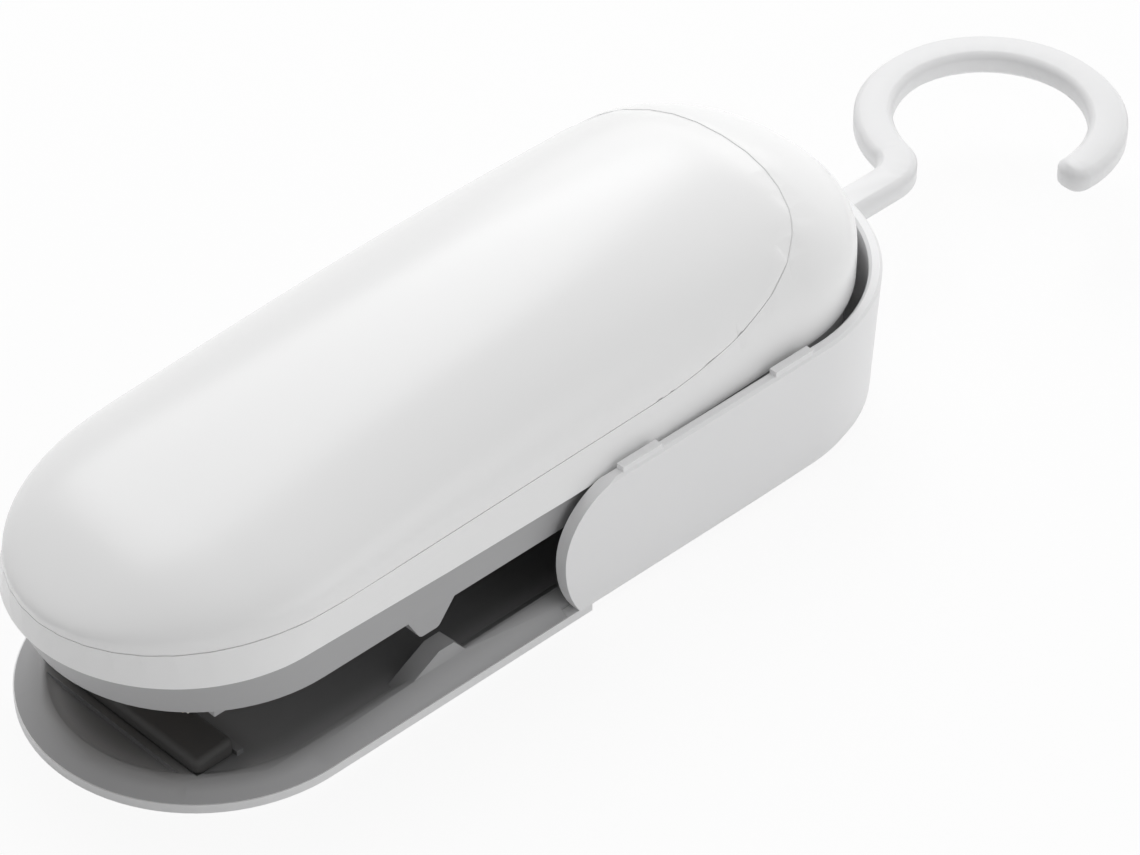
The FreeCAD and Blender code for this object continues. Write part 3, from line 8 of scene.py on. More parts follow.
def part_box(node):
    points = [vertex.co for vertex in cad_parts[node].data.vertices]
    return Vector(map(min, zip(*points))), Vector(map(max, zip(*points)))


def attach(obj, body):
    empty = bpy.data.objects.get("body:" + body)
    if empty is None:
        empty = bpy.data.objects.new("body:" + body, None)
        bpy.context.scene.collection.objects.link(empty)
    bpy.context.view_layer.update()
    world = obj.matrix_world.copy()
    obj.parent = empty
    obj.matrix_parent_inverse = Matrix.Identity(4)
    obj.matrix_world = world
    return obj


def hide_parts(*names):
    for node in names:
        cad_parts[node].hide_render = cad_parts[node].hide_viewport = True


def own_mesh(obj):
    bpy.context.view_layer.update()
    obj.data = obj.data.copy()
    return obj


bl_info = {
    "name": "Hand-held bag sealer",
    "version": (1, 0, 0),
    "blender": (4, 5, 0),
    "location": "3D View > Sidebar > Bag sealer",
    "description": "Dresses the solids of a bag sealer: shells, jaws, heater, cells, springs and stage",
    "category": "Object",
}

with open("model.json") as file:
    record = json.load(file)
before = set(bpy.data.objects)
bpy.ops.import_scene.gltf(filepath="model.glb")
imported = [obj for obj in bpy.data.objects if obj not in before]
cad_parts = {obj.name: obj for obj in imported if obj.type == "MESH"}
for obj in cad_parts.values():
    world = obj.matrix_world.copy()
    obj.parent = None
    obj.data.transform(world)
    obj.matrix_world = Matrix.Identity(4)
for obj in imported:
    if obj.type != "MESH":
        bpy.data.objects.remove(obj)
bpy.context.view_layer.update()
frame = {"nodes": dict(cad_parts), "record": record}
MILLIMETRE = 0.001

# Photograph's camera: where it stands in the part's frame, its axes and its lens
CAMERA_PLACE = Vector((-0.24926, -0.27526, 0.31681))
CAMERA_RIGHT = Vector((0.72123, -0.69270, 0.0))
CAMERA_BACK = Vector((-0.53560, -0.55767, 0.63411))
CAMERA_LENS = 157.895
CAMERA_SENSOR = 36.0

# A contact coil's rise per turn
COIL_PITCH = 0.00062

# Points along one turn of a coil, and round its wire
COIL_POINTS = 40
WIRE_POINTS = 14

# Bare metal at each end of a cell's sleeve
SLEEVE_RIM = 2 * MILLIMETRE

# Distance within which loose corners are one point, and turn below which two faces are one flat face
MERGE_DISTANCE = 0.000002
FLAT_ANGLE = radians(0.5)

# How often the facets of the lid and the housing are divided in four, and share of the rise at an edge's ends
# that the middle of its curve has
FINER_TIMES = 2
CURVE_SHARE = 0.125

# Faces of the lid's lip: greatest lean across the part, and least share by which they look down
LIP_LEAN = 0.001
LIP_DROP = 0.2

# How strongly the hook's broad faces lead its shading, where 50 is even
HOOK_SHADING = 80

# Hook's round tip: tolerance of the cut, turn below which a point of the cut section is not a corner,
# steps round the tip, and distance within which the points of its two sides are one
CUT_TOLERANCE = 0.0000001
STRAIGHT_ANGLE = radians(5.0)
TIP_STEPS = 4
TIP_MERGE = 0.00002

# Bare metals, the switch and the insulation of the leads
STRIP_METAL = (0.55, 0.54, 0.52)
STEEL_METAL = (0.56, 0.56, 0.57)
PLATED_METAL = (0.66, 0.65, 0.62)
CELL_METAL = (0.65, 0.65, 0.64)
SWITCH_BLACK = (0.02, 0.02, 0.022)
LEAD_RED = (0.4, 0.02, 0.02)
LEAD_BLACK = (0.015, 0.015, 0.016)

# Depth of the grain on plastic and on metal and of the cloth's weave, and how strongly it shades
PLASTIC_GRAIN = 0.000004
METAL_GRAIN = 0.000003
WEAVE_DEPTH = 0.00002
BUMP_STRENGTH = 0.35

# Brightness of a scuff and of a raised thread against what is round them, and roughness of the polished coat
SCUFF_SHADE = 0.8
THREAD_SHADE = 1.35
COAT_ROUGHNESS = 0.12

# How much more the roughness of moulded plastic varies than its brightness
POLISH_SWING = 2.0

# Lines of drawn metal: brightness of the darkest, and what the others add in brightness and in roughness
LINE_DARK = 0.9
LINE_LIGHT = 0.2
LINE_ROUGH = 0.15

# Colour sockets of a mix node: the first colour, the second one and the result
MIX_FIRST = 6
MIX_SECOND = 7
MIX_RESULT = 2

# Stage: half the floor's side, how far it lies below the sole, and the depth that the camera sees
FLOOR_REACH = 3.0
FLOOR_DROP = 0.00002
CAMERA_NEAR = 0.01
CAMERA_FAR = 20.0

# Lights, each with the setting for its power, its size and its place, and the point that they face
LIGHT_TARGET = Vector((0.0, 0.0, 0.015))
LIGHTS = {
    "key_light": ("key_power", (0.5, 0.5), Vector((0.22, 0.4, 0.55))),
    "side_light": ("side_power", (0.4, 0.3), Vector((0.15, -0.6, 0.25))),
    "rear_light": ("rear_power", (0.4, 0.3), Vector((0.5, 0.4, 0.3))),
}

# Inputs of the tree that winds a spring
SPRING_INPUTS = {
    "Radius": "NodeSocketFloat", "Wire": "NodeSocketFloat", "Rise": "NodeSocketFloat",
    "Turns": "NodeSocketFloat", "Seat": "NodeSocketVector", "Turn": "NodeSocketVector",
    "Material": "NodeSocketMaterial",
}


# Settings that a user would change

class SealerFinish(bpy.types.PropertyGroup):
    shell_white: bpy.props.FloatVectorProperty(
        name="Shell white", description="Colour of the glossy lid and housing",
        subtype="COLOR", size=3, default=(0.86, 0.86, 0.87))
    base_white: bpy.props.FloatVectorProperty(
        name="Base white", description="Colour of the satin base and hook",
        subtype="COLOR", size=3, default=(0.84, 0.84, 0.845))
    jaw_grey: bpy.props.FloatVectorProperty(
        name="Jaw grey", description="Colour of the upper frame and the lower tray",
        subtype="COLOR", size=3, default=(0.39, 0.39, 0.395))
    # Painted shade: share of the jaw grey kept at the floor of the tray's dish, darkened for the shade under
    # the upper jaw
    dish_painted_shade_share: bpy.props.FloatProperty(
        name="Dish painted shade share",
        description="Share of the jaw grey that is left at the floor of the tray's dish",
        subtype="FACTOR", default=0.35)
    pad_colour: bpy.props.FloatVectorProperty(
        name="Pad", description="Colour of the dark silicone pad",
        subtype="COLOR", size=3, default=(0.045, 0.044, 0.043))
    tape_colour: bpy.props.FloatVectorProperty(
        name="Tape", description="Colour of the glass-cloth tape over the heating strip",
        subtype="COLOR", size=3, default=(0.38, 0.27, 0.17))
    block_colour: bpy.props.FloatVectorProperty(
        name="Heater block", description="Colour of the heat-proof block",
        subtype="COLOR", size=3, default=(0.62, 0.60, 0.55))
    cell_colour: bpy.props.FloatVectorProperty(
        name="Cell sleeve", description="Colour of the plain sleeve round each cell",
        subtype="COLOR", size=3, default=(0.05, 0.11, 0.16))


class SealerSizes(bpy.types.PropertyGroup):
    edge_bevel: bpy.props.FloatProperty(
        name="Edge bevel", description="Rounding along the moulded edges",
        unit="LENGTH", default=0.00012, precision=5)
    seam_bevel: bpy.props.FloatProperty(
        name="Seam bevel", description="Rounding along the edges of the lid and the housing",
        unit="LENGTH", default=0.00006, precision=5)
    seam_reach: bpy.props.FloatProperty(
        name="Seam reach", description="How far the lid's lip reaches into the open joint below it",
        unit="LENGTH", default=0.00012, precision=5)
    tray_bevel: bpy.props.FloatProperty(
        name="Tray bevel", description="Rounding along the edges of the lower tray",
        unit="LENGTH", default=0.00024, precision=5)
    pad_bevel: bpy.props.FloatProperty(
        name="Pad bevel", description="Rounding along the soft edges of the silicone pad",
        unit="LENGTH", default=0.0007, precision=5)
    hook_smooth_angle: bpy.props.FloatProperty(
        name="Hook smooth angle",
        description="The smooth angle on the hook, whose bevels stand for rounded edges",
        subtype="ANGLE", default=radians(62))
    tray_smooth_angle: bpy.props.FloatProperty(
        name="Tray smooth angle", description="The smooth angle on the tray, whose crest is soft",
        subtype="ANGLE", default=radians(80))
    hook_strip: bpy.props.FloatProperty(
        name="Hook strip", description="Width of the hook's strip",
        unit="LENGTH", default=0.0041, precision=5)
    hook_cut: bpy.props.FloatProperty(
        name="Hook cut", description="Bevel along the hook's strip",
        unit="LENGTH", default=0.0007, precision=5)
    hook_tip_angle: bpy.props.FloatProperty(
        name="Hook tip angle", description="Angle round the hook's ring from its rear end to the tip",
        subtype="ANGLE", default=1.75)
    hook_tip_depth: bpy.props.FloatProperty(
        name="Hook tip depth", description="Length of the tip over which its end is rounded",
        unit="LENGTH", default=0.0019, precision=5)
    smooth_angle: bpy.props.FloatProperty(
        name="Smooth angle", description="Faces that meet at less than this angle are shaded as one",
        subtype="ANGLE", default=radians(34))
    dish_arc_x: bpy.props.FloatProperty(
        name="Dish arc", description="Centre of the round front end of the tray's dish, along the part",
        unit="LENGTH", default=-0.03245, precision=5)
    # Rim of the tray's dish and the bounds of the painted shade that darkens its floor for the shade under
    # the upper jaw
    dish_rim: bpy.props.FloatProperty(
        name="Dish rim", description="Plan radius of the dish at its rim, where its painted shade ends",
        unit="LENGTH", default=0.0170, precision=5)
    painted_shade_low: bpy.props.FloatProperty(
        name="Painted shade height", description="Height up to which the painted shade is full",
        unit="LENGTH", default=0.0017, precision=5)
    painted_shade_high: bpy.props.FloatProperty(
        name="Painted shade top", description="Height above which there is no painted shade",
        unit="LENGTH", default=0.0036, precision=5)
    painted_shade_radius: bpy.props.FloatProperty(
        name="Painted shade radius", description="Plan radius inside which the painted shade is full",
        unit="LENGTH", default=0.0115, precision=5)
    spring_radius: bpy.props.FloatProperty(
        name="Spring radius", description="Return spring, middle of the wire",
        unit="LENGTH", default=0.0032, precision=5)
    spring_wire: bpy.props.FloatProperty(
        name="Spring wire", description="Return spring, radius of the wire",
        unit="LENGTH", default=0.00035, precision=5)
    spring_turns: bpy.props.FloatProperty(
        name="Spring turns", description="Turns of the return spring", default=5.04)
    coil_radius: bpy.props.FloatProperty(
        name="Coil radius", description="Contact coil, middle of the wire",
        unit="LENGTH", default=0.0030, precision=5)
    coil_wire: bpy.props.FloatProperty(
        name="Coil wire", description="Contact coil, radius of the wire",
        unit="LENGTH", default=0.00025, precision=5)
    coil_turns: bpy.props.FloatProperty(
        name="Coil turns", description="Turns of a contact coil", default=1.75)


class SealerStage(bpy.types.PropertyGroup):
    floor_white: bpy.props.FloatVectorProperty(
        name="Floor white", description="Colour of the floor", subtype="COLOR", size=3,
        default=(0.93, 0.93, 0.93))
    floor_glow: bpy.props.FloatProperty(
        name="Floor glow", description="Share of plain white in what the camera sees of the floor",
        subtype="FACTOR", default=0.9)
    key_power: bpy.props.FloatProperty(
        name="Key light", description="Power of the large light above the far side",
        unit="POWER", default=1.7)
    side_power: bpy.props.FloatProperty(
        name="Side light", description="Power of the light on the near side",
        unit="POWER", default=0.33)
    rear_power: bpy.props.FloatProperty(
        name="Rear light", description="Power of the light behind",
        unit="POWER", default=0.35)
    ambient: bpy.props.FloatProperty(
        name="Ambient", description="Strength of the soft light from all round", default=0.6)
    ambient_tilt: bpy.props.FloatProperty(
        name="Ambient tilt",
        description="How much more of the soft light comes from the hook's end than from the mouth",
        subtype="FACTOR", default=0.6)


# Nodes that several trees use

def feed(tree, socket, value):
    """Link a socket to another one, or set it to a plain value."""
    if isinstance(value, bpy.types.NodeSocket):
        tree.links.new(value, socket)
    else:
        socket.default_value = value


def maths(tree, operation, first, second):
    """One Math node; each operand is a socket or a number."""
    math = tree.nodes.new("ShaderNodeMath")
    math.operation = operation
    feed(tree, math.inputs[0], first)
    feed(tree, math.inputs[1], second)
    return math.outputs[0]


def noise(tree, place, scale, detail):
    """Noise over the given coordinates; the scale is a socket or a number."""
    texture = tree.nodes.new("ShaderNodeTexNoise")
    tree.links.new(place, texture.inputs["Vector"])
    feed(tree, texture.inputs["Scale"], scale)
    texture.inputs["Detail"].default_value = detail
    return texture.outputs["Fac"]


def mixed(tree, share, first, second):
    """Colour between two, each a socket or a plain colour."""
    mix = tree.nodes.new("ShaderNodeMix")
    mix.data_type = "RGBA"
    tree.links.new(share, mix.inputs["Factor"])
    feed(tree, mix.inputs[MIX_FIRST], first)
    feed(tree, mix.inputs[MIX_SECOND], second)
    return mix.outputs[MIX_RESULT]


def shaded(tree, colour, value):
    """Colour made darker or lighter by a value that changes over the surface."""
    shade = tree.nodes.new("ShaderNodeHueSaturation")
    tree.links.new(colour, shade.inputs["Color"])
    tree.links.new(value, shade.inputs["Value"])
    return shade.outputs["Color"]


def ramp(tree, value, start, end, low, high):
    """Smooth change from low to high while the value goes from start to end."""
    change = tree.nodes.new("ShaderNodeMapRange")
    change.interpolation_type = "SMOOTHSTEP"
    tree.links.new(value, change.inputs["Value"])
    for label, bound in (("From Min", start), ("From Max", end), ("To Min", low), ("To Max", high)):
        change.inputs[label].default_value = bound
    return change.outputs["Result"]


def object_place(tree):
    return tree.nodes.new("ShaderNodeTexCoord").outputs["Object"]


def place_parts(tree, place):
    """The X, Y and Z of a place."""
    parts = tree.nodes.new("ShaderNodeSeparateXYZ")
    tree.links.new(place, parts.inputs[0])
    return parts.outputs


def white_rays(tree):
    """One for the rays by which the camera, gloss and clear parts see, and nought for the others."""
    path = tree.nodes.new("ShaderNodeLightPath")
    seen = path.outputs["Is Camera Ray"]
    for label in ("Is Glossy Ray", "Is Transmission Ray"):
        seen = maths(tree, "MAXIMUM", seen, path.outputs[label])
    return seen


# Shader groups that several finishes share

SKIN_OUTPUTS = [("Color", "NodeSocketColor"), ("Roughness", "NodeSocketFloat"), ("Height", "NodeSocketFloat")]


def new_group(name, inputs, outputs):
    """Empty shader group with named sockets, and its two end nodes."""
    group = bpy.data.node_groups.new(name, "ShaderNodeTree")
    for label, kind, value in inputs:
        socket = group.interface.new_socket(label, in_out="INPUT", socket_type=kind)
        socket.default_value = value
    for label, kind in outputs:
        group.interface.new_socket(label, in_out="OUTPUT", socket_type=kind)
    return group, group.nodes.new("NodeGroupInput"), group.nodes.new("NodeGroupOutput")


def put_out(group, result, **sockets):
    """Link the named outputs of a group."""
    for label, socket in sockets.items():
        group.links.new(socket, result.inputs[label])


def moulded_skin_group():
    """Fine spark-eroded grain and the slow unevenness of moulded plastic."""
    group, given, result = new_group(
        "moulded_skin",
        [("Tint", "NodeSocketColor", (0.8, 0.8, 0.8, 1.0)), ("Grain Scale", "NodeSocketFloat", 2500.0),
         ("Roughness", "NodeSocketFloat", 0.35), ("Variation", "NodeSocketFloat", 0.03)],
        SKIN_OUTPUTS)
    place = object_place(group)
    grain = noise(group, place, scale=given.outputs["Grain Scale"], detail=2.0)
    flow = noise(group, place, scale=45.0, detail=3.0)
    swing = maths(group, "SUBTRACT", flow, 0.5)
    uneven = maths(group, "MULTIPLY", swing, given.outputs["Variation"])
    colour = shaded(group, given.outputs["Tint"], maths(group, "ADD", uneven, 1.0))
    polish = maths(group, "ADD", given.outputs["Roughness"], maths(group, "MULTIPLY", uneven, POLISH_SWING))
    put_out(group, result, Color=colour, Roughness=polish, Height=grain)
    return group


def sole_scuff_group():
    """Mask of light scuffs that gather towards the sole, where the part is set down."""
    group, given, result = new_group(
        "sole_scuff",
        [("Height", "NodeSocketFloat", 0.0015), ("Amount", "NodeSocketFloat", 0.4)],
        [("Mask", "NodeSocketFloat")])
    place = object_place(group)
    near = group.nodes.new("ShaderNodeMapRange")
    near.inputs["From Min"].default_value = 0.0
    near.inputs["To Min"].default_value = 1.0
    near.inputs["To Max"].default_value = 0.0
    group.links.new(place_parts(group, place)["Z"], near.inputs["Value"])
    group.links.new(given.outputs["Height"], near.inputs["From Max"])
    marks = noise(group, place, scale=600.0, detail=4.0)
    worn = maths(group, "MULTIPLY", near.outputs["Result"], marks)
    put_out(group, result, Mask=maths(group, "MULTIPLY", worn, given.outputs["Amount"]))
    return group


def drawn_metal_group():
    """Fine lines that run along X, and small changes of brightness, as on drawn or rolled metal."""
    group, given, result = new_group(
        "drawn_metal",
        [("Tint", "NodeSocketColor", (0.6, 0.6, 0.6, 1.0)), ("Roughness", "NodeSocketFloat", 0.25)],
        SKIN_OUTPUTS)
    stretch = group.nodes.new("ShaderNodeMapping")
    stretch.inputs["Scale"].default_value = (120.0, 4000.0, 4000.0)
    group.links.new(object_place(group), stretch.inputs["Vector"])
    lines = noise(group, stretch.outputs["Vector"], scale=1.0, detail=3.0)
    brightness = maths(group, "ADD", maths(group, "MULTIPLY", lines, LINE_LIGHT), LINE_DARK)
    colour = shaded(group, given.outputs["Tint"], brightness)
    polish = maths(group, "ADD", given.outputs["Roughness"], maths(group, "MULTIPLY", lines, LINE_ROUGH))
    put_out(group, result, Color=colour, Roughness=polish, Height=lines)
    return group


SHARED_GROUPS = {
    "moulded_skin": moulded_skin_group,
    "sole_scuff": sole_scuff_group,
    "drawn_metal": drawn_metal_group,
}


def place_group(tree, name, **values):
    """Put a shared group into a material, making the group the first time."""
    group = bpy.data.node_groups.get(name) or SHARED_GROUPS[name]()
    placed = tree.nodes.new("ShaderNodeGroup")
    placed.node_tree = group
    for label, value in values.items():
        placed.inputs[label.replace("_", " ")].default_value = value
    return placed


# Finishes

def new_material(name):
    material = bpy.data.materials.new(name)
    material.use_nodes = True
    tree = material.node_tree
    return material, tree, tree.nodes["Principled BSDF"]


def lay_skin(tree, shader, colour, skin):
    """Give the shader a colour, and the roughness of a shared skin."""
    tree.links.new(colour, shader.inputs["Base Color"])
    tree.links.new(skin.outputs["Roughness"], shader.inputs["Roughness"])


def bump_into(tree, shader, height, distance):
    bump = tree.nodes.new("ShaderNodeBump")
    bump.inputs["Strength"].default_value = BUMP_STRENGTH
    bump.inputs["Distance"].default_value = distance
    tree.links.new(height, bump.inputs["Height"])
    tree.links.new(bump.outputs["Normal"], shader.inputs["Normal"])


def opaque(colour):
    return (*colour, 1.0)


def plastic(name, tint, roughness, grain_scale=2500.0, variation=0.03, coat=0.0, scuffed=False):
    """Moulded plastic: tint and polish from the shared skin, grain as bump, scuffs near the sole if asked."""
    material, tree, shader = new_material(name)
    skin = place_group(tree, "moulded_skin", Tint=opaque(tint), Grain_Scale=grain_scale,
                       Roughness=roughness, Variation=variation)
    colour = skin.outputs["Color"]
    if scuffed:
        scuff = place_group(tree, "sole_scuff")
        worn = [part * SCUFF_SHADE for part in tint]
        colour = mixed(tree, scuff.outputs["Mask"], colour, opaque(worn))
    lay_skin(tree, shader, colour, skin)
    bump_into(tree, shader, skin.outputs["Height"], PLASTIC_GRAIN)
    shader.inputs["Coat Weight"].default_value = coat
    shader.inputs["Coat Roughness"].default_value = COAT_ROUGHNESS
    return material


def plastic_with_painted_dish_shade(name, tint, roughness, sizes, floor_share):
    """Moulded plastic with painted shade in the depth of a dish that has a round front end."""
    material, tree, shader = new_material(name)
    skin = place_group(tree, "moulded_skin", Tint=opaque(tint), Roughness=roughness, Variation=0.04)
    parts = place_parts(tree, object_place(tree))
    ahead = maths(tree, "MINIMUM", maths(tree, "SUBTRACT", parts["X"], sizes.dish_arc_x), 0.0)
    squares = maths(tree, "ADD", maths(tree, "MULTIPLY", ahead, ahead),
                    maths(tree, "MULTIPLY", parts["Y"], parts["Y"]))
    spread = maths(tree, "SQRT", squares, 0.0)
    # Painted shade: darker towards the middle of the dish and down towards its floor, where the upper jaw
    # shades it
    inside = ramp(tree, spread, sizes.painted_shade_radius, sizes.dish_rim, 1.0 - floor_share, 0.0)
    below = ramp(tree, parts["Z"], sizes.painted_shade_low, sizes.painted_shade_high, 1.0, 0.0)
    left = maths(tree, "SUBTRACT", 1.0, maths(tree, "MULTIPLY", inside, below))
    lay_skin(tree, shader, shaded(tree, skin.outputs["Color"], left), skin)
    bump_into(tree, shader, skin.outputs["Height"], PLASTIC_GRAIN)
    return material


def metal(name, tint, roughness):
    """Bare drawn or rolled metal."""
    material, tree, shader = new_material(name)
    drawn = place_group(tree, "drawn_metal", Tint=opaque(tint), Roughness=roughness)
    lay_skin(tree, shader, drawn.outputs["Color"], drawn)
    bump_into(tree, shader, drawn.outputs["Height"], METAL_GRAIN)
    shader.inputs["Metallic"].default_value = 1.0
    return material


def glass_cloth(name, tint):
    """Coated glass cloth: crossed threads as colour and bump."""
    material, tree, shader = new_material(name)
    place = object_place(tree)
    threads = []
    for direction in ("X", "Y"):
        wave = tree.nodes.new("ShaderNodeTexWave")
        wave.bands_direction = direction
        wave.inputs["Scale"].default_value = 900.0
        wave.inputs["Distortion"].default_value = 0.4
        tree.links.new(place, wave.inputs["Vector"])
        threads.append(wave.outputs["Fac"])
    weave = maths(tree, "MULTIPLY", *threads)
    skin = place_group(tree, "moulded_skin", Tint=opaque(tint), Roughness=0.45, Variation=0.25)
    raised = [part * THREAD_SHADE for part in tint]
    lay_skin(tree, shader, mixed(tree, weave, skin.outputs["Color"], opaque(raised)), skin)
    bump_into(tree, shader, weave, WEAVE_DEPTH)
    return material


def cell_sleeve(name, tint, low, high):
    """Plain sleeve that goes from low to high along the cell, with bare metal beyond."""
    material, tree, shader = new_material(name)
    along = place_parts(tree, object_place(tree))["X"]
    inside = maths(tree, "MULTIPLY", maths(tree, "GREATER_THAN", along, low),
                   maths(tree, "LESS_THAN", along, high))
    skin = place_group(tree, "moulded_skin", Tint=opaque(tint), Roughness=0.3, Variation=0.1)
    drawn = place_group(tree, "drawn_metal", Tint=opaque(CELL_METAL), Roughness=0.25)
    lay_skin(tree, shader, mixed(tree, inside, drawn.outputs["Color"], skin.outputs["Color"]), skin)
    tree.links.new(maths(tree, "SUBTRACT", 1.0, inside), shader.inputs["Metallic"])
    return material


def finish_named(name, make, *values, **options):
    """The material of that name, made the first time it is asked for."""
    return bpy.data.materials.get(name) or make(name, *values, **options)


def bright_steel():
    return finish_named("bright_steel", metal, STEEL_METAL, roughness=0.28)


def nickel_plate():
    return finish_named("nickel_plate", metal, PLATED_METAL, roughness=0.22)


# Pieces

def paint(node, material):
    """Give a CAD node its material."""
    mesh = frame["nodes"][node].data
    mesh.materials.clear()
    mesh.materials.append(material)


def link_piece(name, mesh, material, body, replaced):
    """Place a finished mesh as a piece that rides on a body in the stead of CAD nodes."""
    mesh.materials.clear()
    mesh.materials.append(material)
    piece = bpy.data.objects.new(name, mesh)
    bpy.context.scene.collection.objects.link(piece)
    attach(piece, body)
    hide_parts(*replaced)
    return piece


def merged(node):
    """The node's loose triangles, joined where they meet."""
    joined = bmesh.new()
    joined.from_mesh(frame["nodes"][node].data)
    bmesh.ops.remove_doubles(joined, verts=joined.verts, dist=MERGE_DISTANCE)
    return joined


def plain_mesh(joined, node):
    """Mesh of the joined triangles, without the normals that were stored for the loose ones."""
    mesh = bpy.data.meshes.new(f"{node}_look")
    joined.to_mesh(mesh)
    joined.free()
    custom = mesh.attributes.get("custom_normal")
    if custom is not None:
        mesh.attributes.remove(custom)
    return mesh


def flat_mesh(joined, node):
    """Mesh whose flat faces are whole, so that their edges can be rounded widely."""
    bmesh.ops.dissolve_limit(joined, angle_limit=FLAT_ANGLE, verts=joined.verts, edges=joined.edges)
    return plain_mesh(joined, node)


def smooth_all(mesh):
    mesh.polygons.foreach_set("use_smooth", [True] * len(mesh.polygons))


def smooth_faces(mesh, smooth_angle):
    """Shade the faces as one, apart from those that meet at a sharp edge."""
    smooth_all(mesh)
    mesh.set_sharp_from_angle(angle=smooth_angle)


def edge_lift(sharp, sides):
    """Lift of the middle of an edge; on a sharp edge each side stays on the other one's surface."""
    if not sharp or len(sides) != 2:
        return sum((lift for lift, normal in sides), Vector()) / len(sides)
    (first, first_normal), (second, second_normal) = sides
    return (first - second_normal * first.dot(second_normal)
            + second - first_normal * second.dot(first_normal))


def divided_mesh(mesh, smooth_angle):
    """Each triangle in four, with the new points on the curve that the normals at its corners give."""
    smooth_faces(mesh, smooth_angle)
    normals = [corner.vector.copy() for corner in mesh.corner_normals]
    points = [vertex.co.copy() for vertex in mesh.vertices]
    sides = [[] for edge in mesh.edges]
    faces = []
    for polygon in mesh.polygons:
        corners = list(polygon.loop_indices)
        for here, there in zip(corners, corners[1:] + corners[:1]):
            span = points[mesh.loops[there].vertex_index] - points[mesh.loops[here].vertex_index]
            here_normal, there_normal = normals[here], normals[there]
            lift = there_normal * span.dot(there_normal) - here_normal * span.dot(here_normal)
            facing = (here_normal + there_normal).normalized()
            sides[mesh.loops[here].edge_index].append((lift * CURVE_SHARE, facing))
        a, b, c = (mesh.loops[corner].vertex_index for corner in corners)
        ab, bc, ca = (len(points) + mesh.loops[corner].edge_index for corner in corners)
        faces += [(a, ab, ca), (ab, b, bc), (ca, bc, c), (ab, bc, ca)]
    for edge in mesh.edges:
        first, second = edge.vertices
        lift = edge_lift(edge.use_edge_sharp, sides[edge.index])
        points.append((points[first] + points[second]) / 2 + lift)
    divided = bpy.data.meshes.new(mesh.name)
    divided.from_pydata(points, [], faces)
    bpy.data.meshes.remove(mesh)
    return divided


def finer_mesh(mesh, smooth_angle):
    for _ in range(FINER_TIMES):
        mesh = divided_mesh(mesh, smooth_angle)
    return mesh


def dressed_piece(node, mesh, material, body, bevel, smooth_angle, segments=2):
    """Piece in the stead of a node, with its curves shaded smooth and its edges rounded."""
    smooth_faces(mesh, smooth_angle)
    piece = link_piece(f"{node}_look", mesh, material, body, [node])
    rounding = piece.modifiers.new("edge_bevel", "BEVEL")
    rounding.limit_method = "ANGLE"
    rounding.angle_limit = smooth_angle
    rounding.width = bevel
    rounding.segments = segments
    rounding.harden_normals = True


def dressed_hook(mesh, material, smooth_angle):
    """The hook, with its bevels shaded as the rounded edges between its broad faces."""
    smooth_faces(mesh, smooth_angle)
    piece = link_piece("hook_look", mesh, material, "hook", ["hook"])
    shading = piece.modifiers.new("broad_faces", "WEIGHTED_NORMAL")
    shading.mode = "FACE_AREA"
    shading.weight = HOOK_SHADING
    shading.keep_sharp = True


def reach_into_seam(joined, reach):
    """Carry the lid's lower lip, which is straight across the part, into the open joint below it."""
    headings = {}
    for face in joined.faces:
        if abs(face.normal.y) < LIP_LEAN and face.normal.z < -LIP_DROP:
            for vertex in face.verts:
                headings[vertex] = headings.get(vertex, Vector()) + face.normal
    for vertex, heading in headings.items():
        vertex.co += heading.normalized() * reach


def tip_lead(across, half, cut, depth):
    """How far the round tip carries on a point of the strip's section that lies so far from its middle."""
    inner = half - cut
    if across < inner:
        return (depth - cut) * across / inner
    return depth - (half - across)


def corners_only(joined, ring):
    """Corners of a cut section, once the points along its straight sides are out of the mesh."""
    straight = []
    for before, vertex, after in zip(ring[-1:] + ring[:-1], ring, ring[1:] + ring[:1]):
        if (vertex.co - before.co).angle(after.co - vertex.co, 0.0) < STRAIGHT_ANGLE:
            straight.append(vertex)
    corners = [vertex for vertex in ring if vertex not in straight]
    bmesh.ops.dissolve_verts(joined, verts=straight)
    return corners


def tip_start(sizes):
    """Where the hook's round tip starts, and the directions outwards and onwards along the strip there."""
    eye = next(mount for mount in frame["record"]["mounts"] if mount["name"] == "hook_eye")
    turn = sizes.hook_tip_angle
    outward = Vector((cos(turn), -sin(turn), 0.0))
    onward = Vector((-sin(turn), -cos(turn), 0.0))
    radius = eye["dims"]["r_mm"] * MILLIMETRE + sizes.hook_strip / 2
    return Vector(eye["pos_m"]) + outward * radius - onward * sizes.hook_tip_depth, outward, onward


def cut_section(joined, start, outward, onward, reach):
    """Cut the strip off where its tip starts, and give the corners of the section in turn."""
    near = [face for face in joined.faces
            if any((vertex.co - start).length < reach for vertex in face.verts)]
    edges = dict.fromkeys(edge for face in near for edge in face.edges)
    corners = dict.fromkeys(vertex for face in near for vertex in face.verts)
    bmesh.ops.bisect_plane(joined, geom=[*corners, *edges, *near], dist=CUT_TOLERANCE,
                           plane_co=start, plane_no=onward, clear_outer=True)
    ring = dict.fromkeys(vertex for edge in joined.edges if edge.is_boundary for vertex in edge.verts)
    middle = sum((vertex.co for vertex in ring), Vector()) / len(ring)

    def bearing(vertex):
        across = vertex.co - middle
        return atan2(across.z, across.dot(outward))

    return corners_only(joined, sorted(ring, key=bearing))


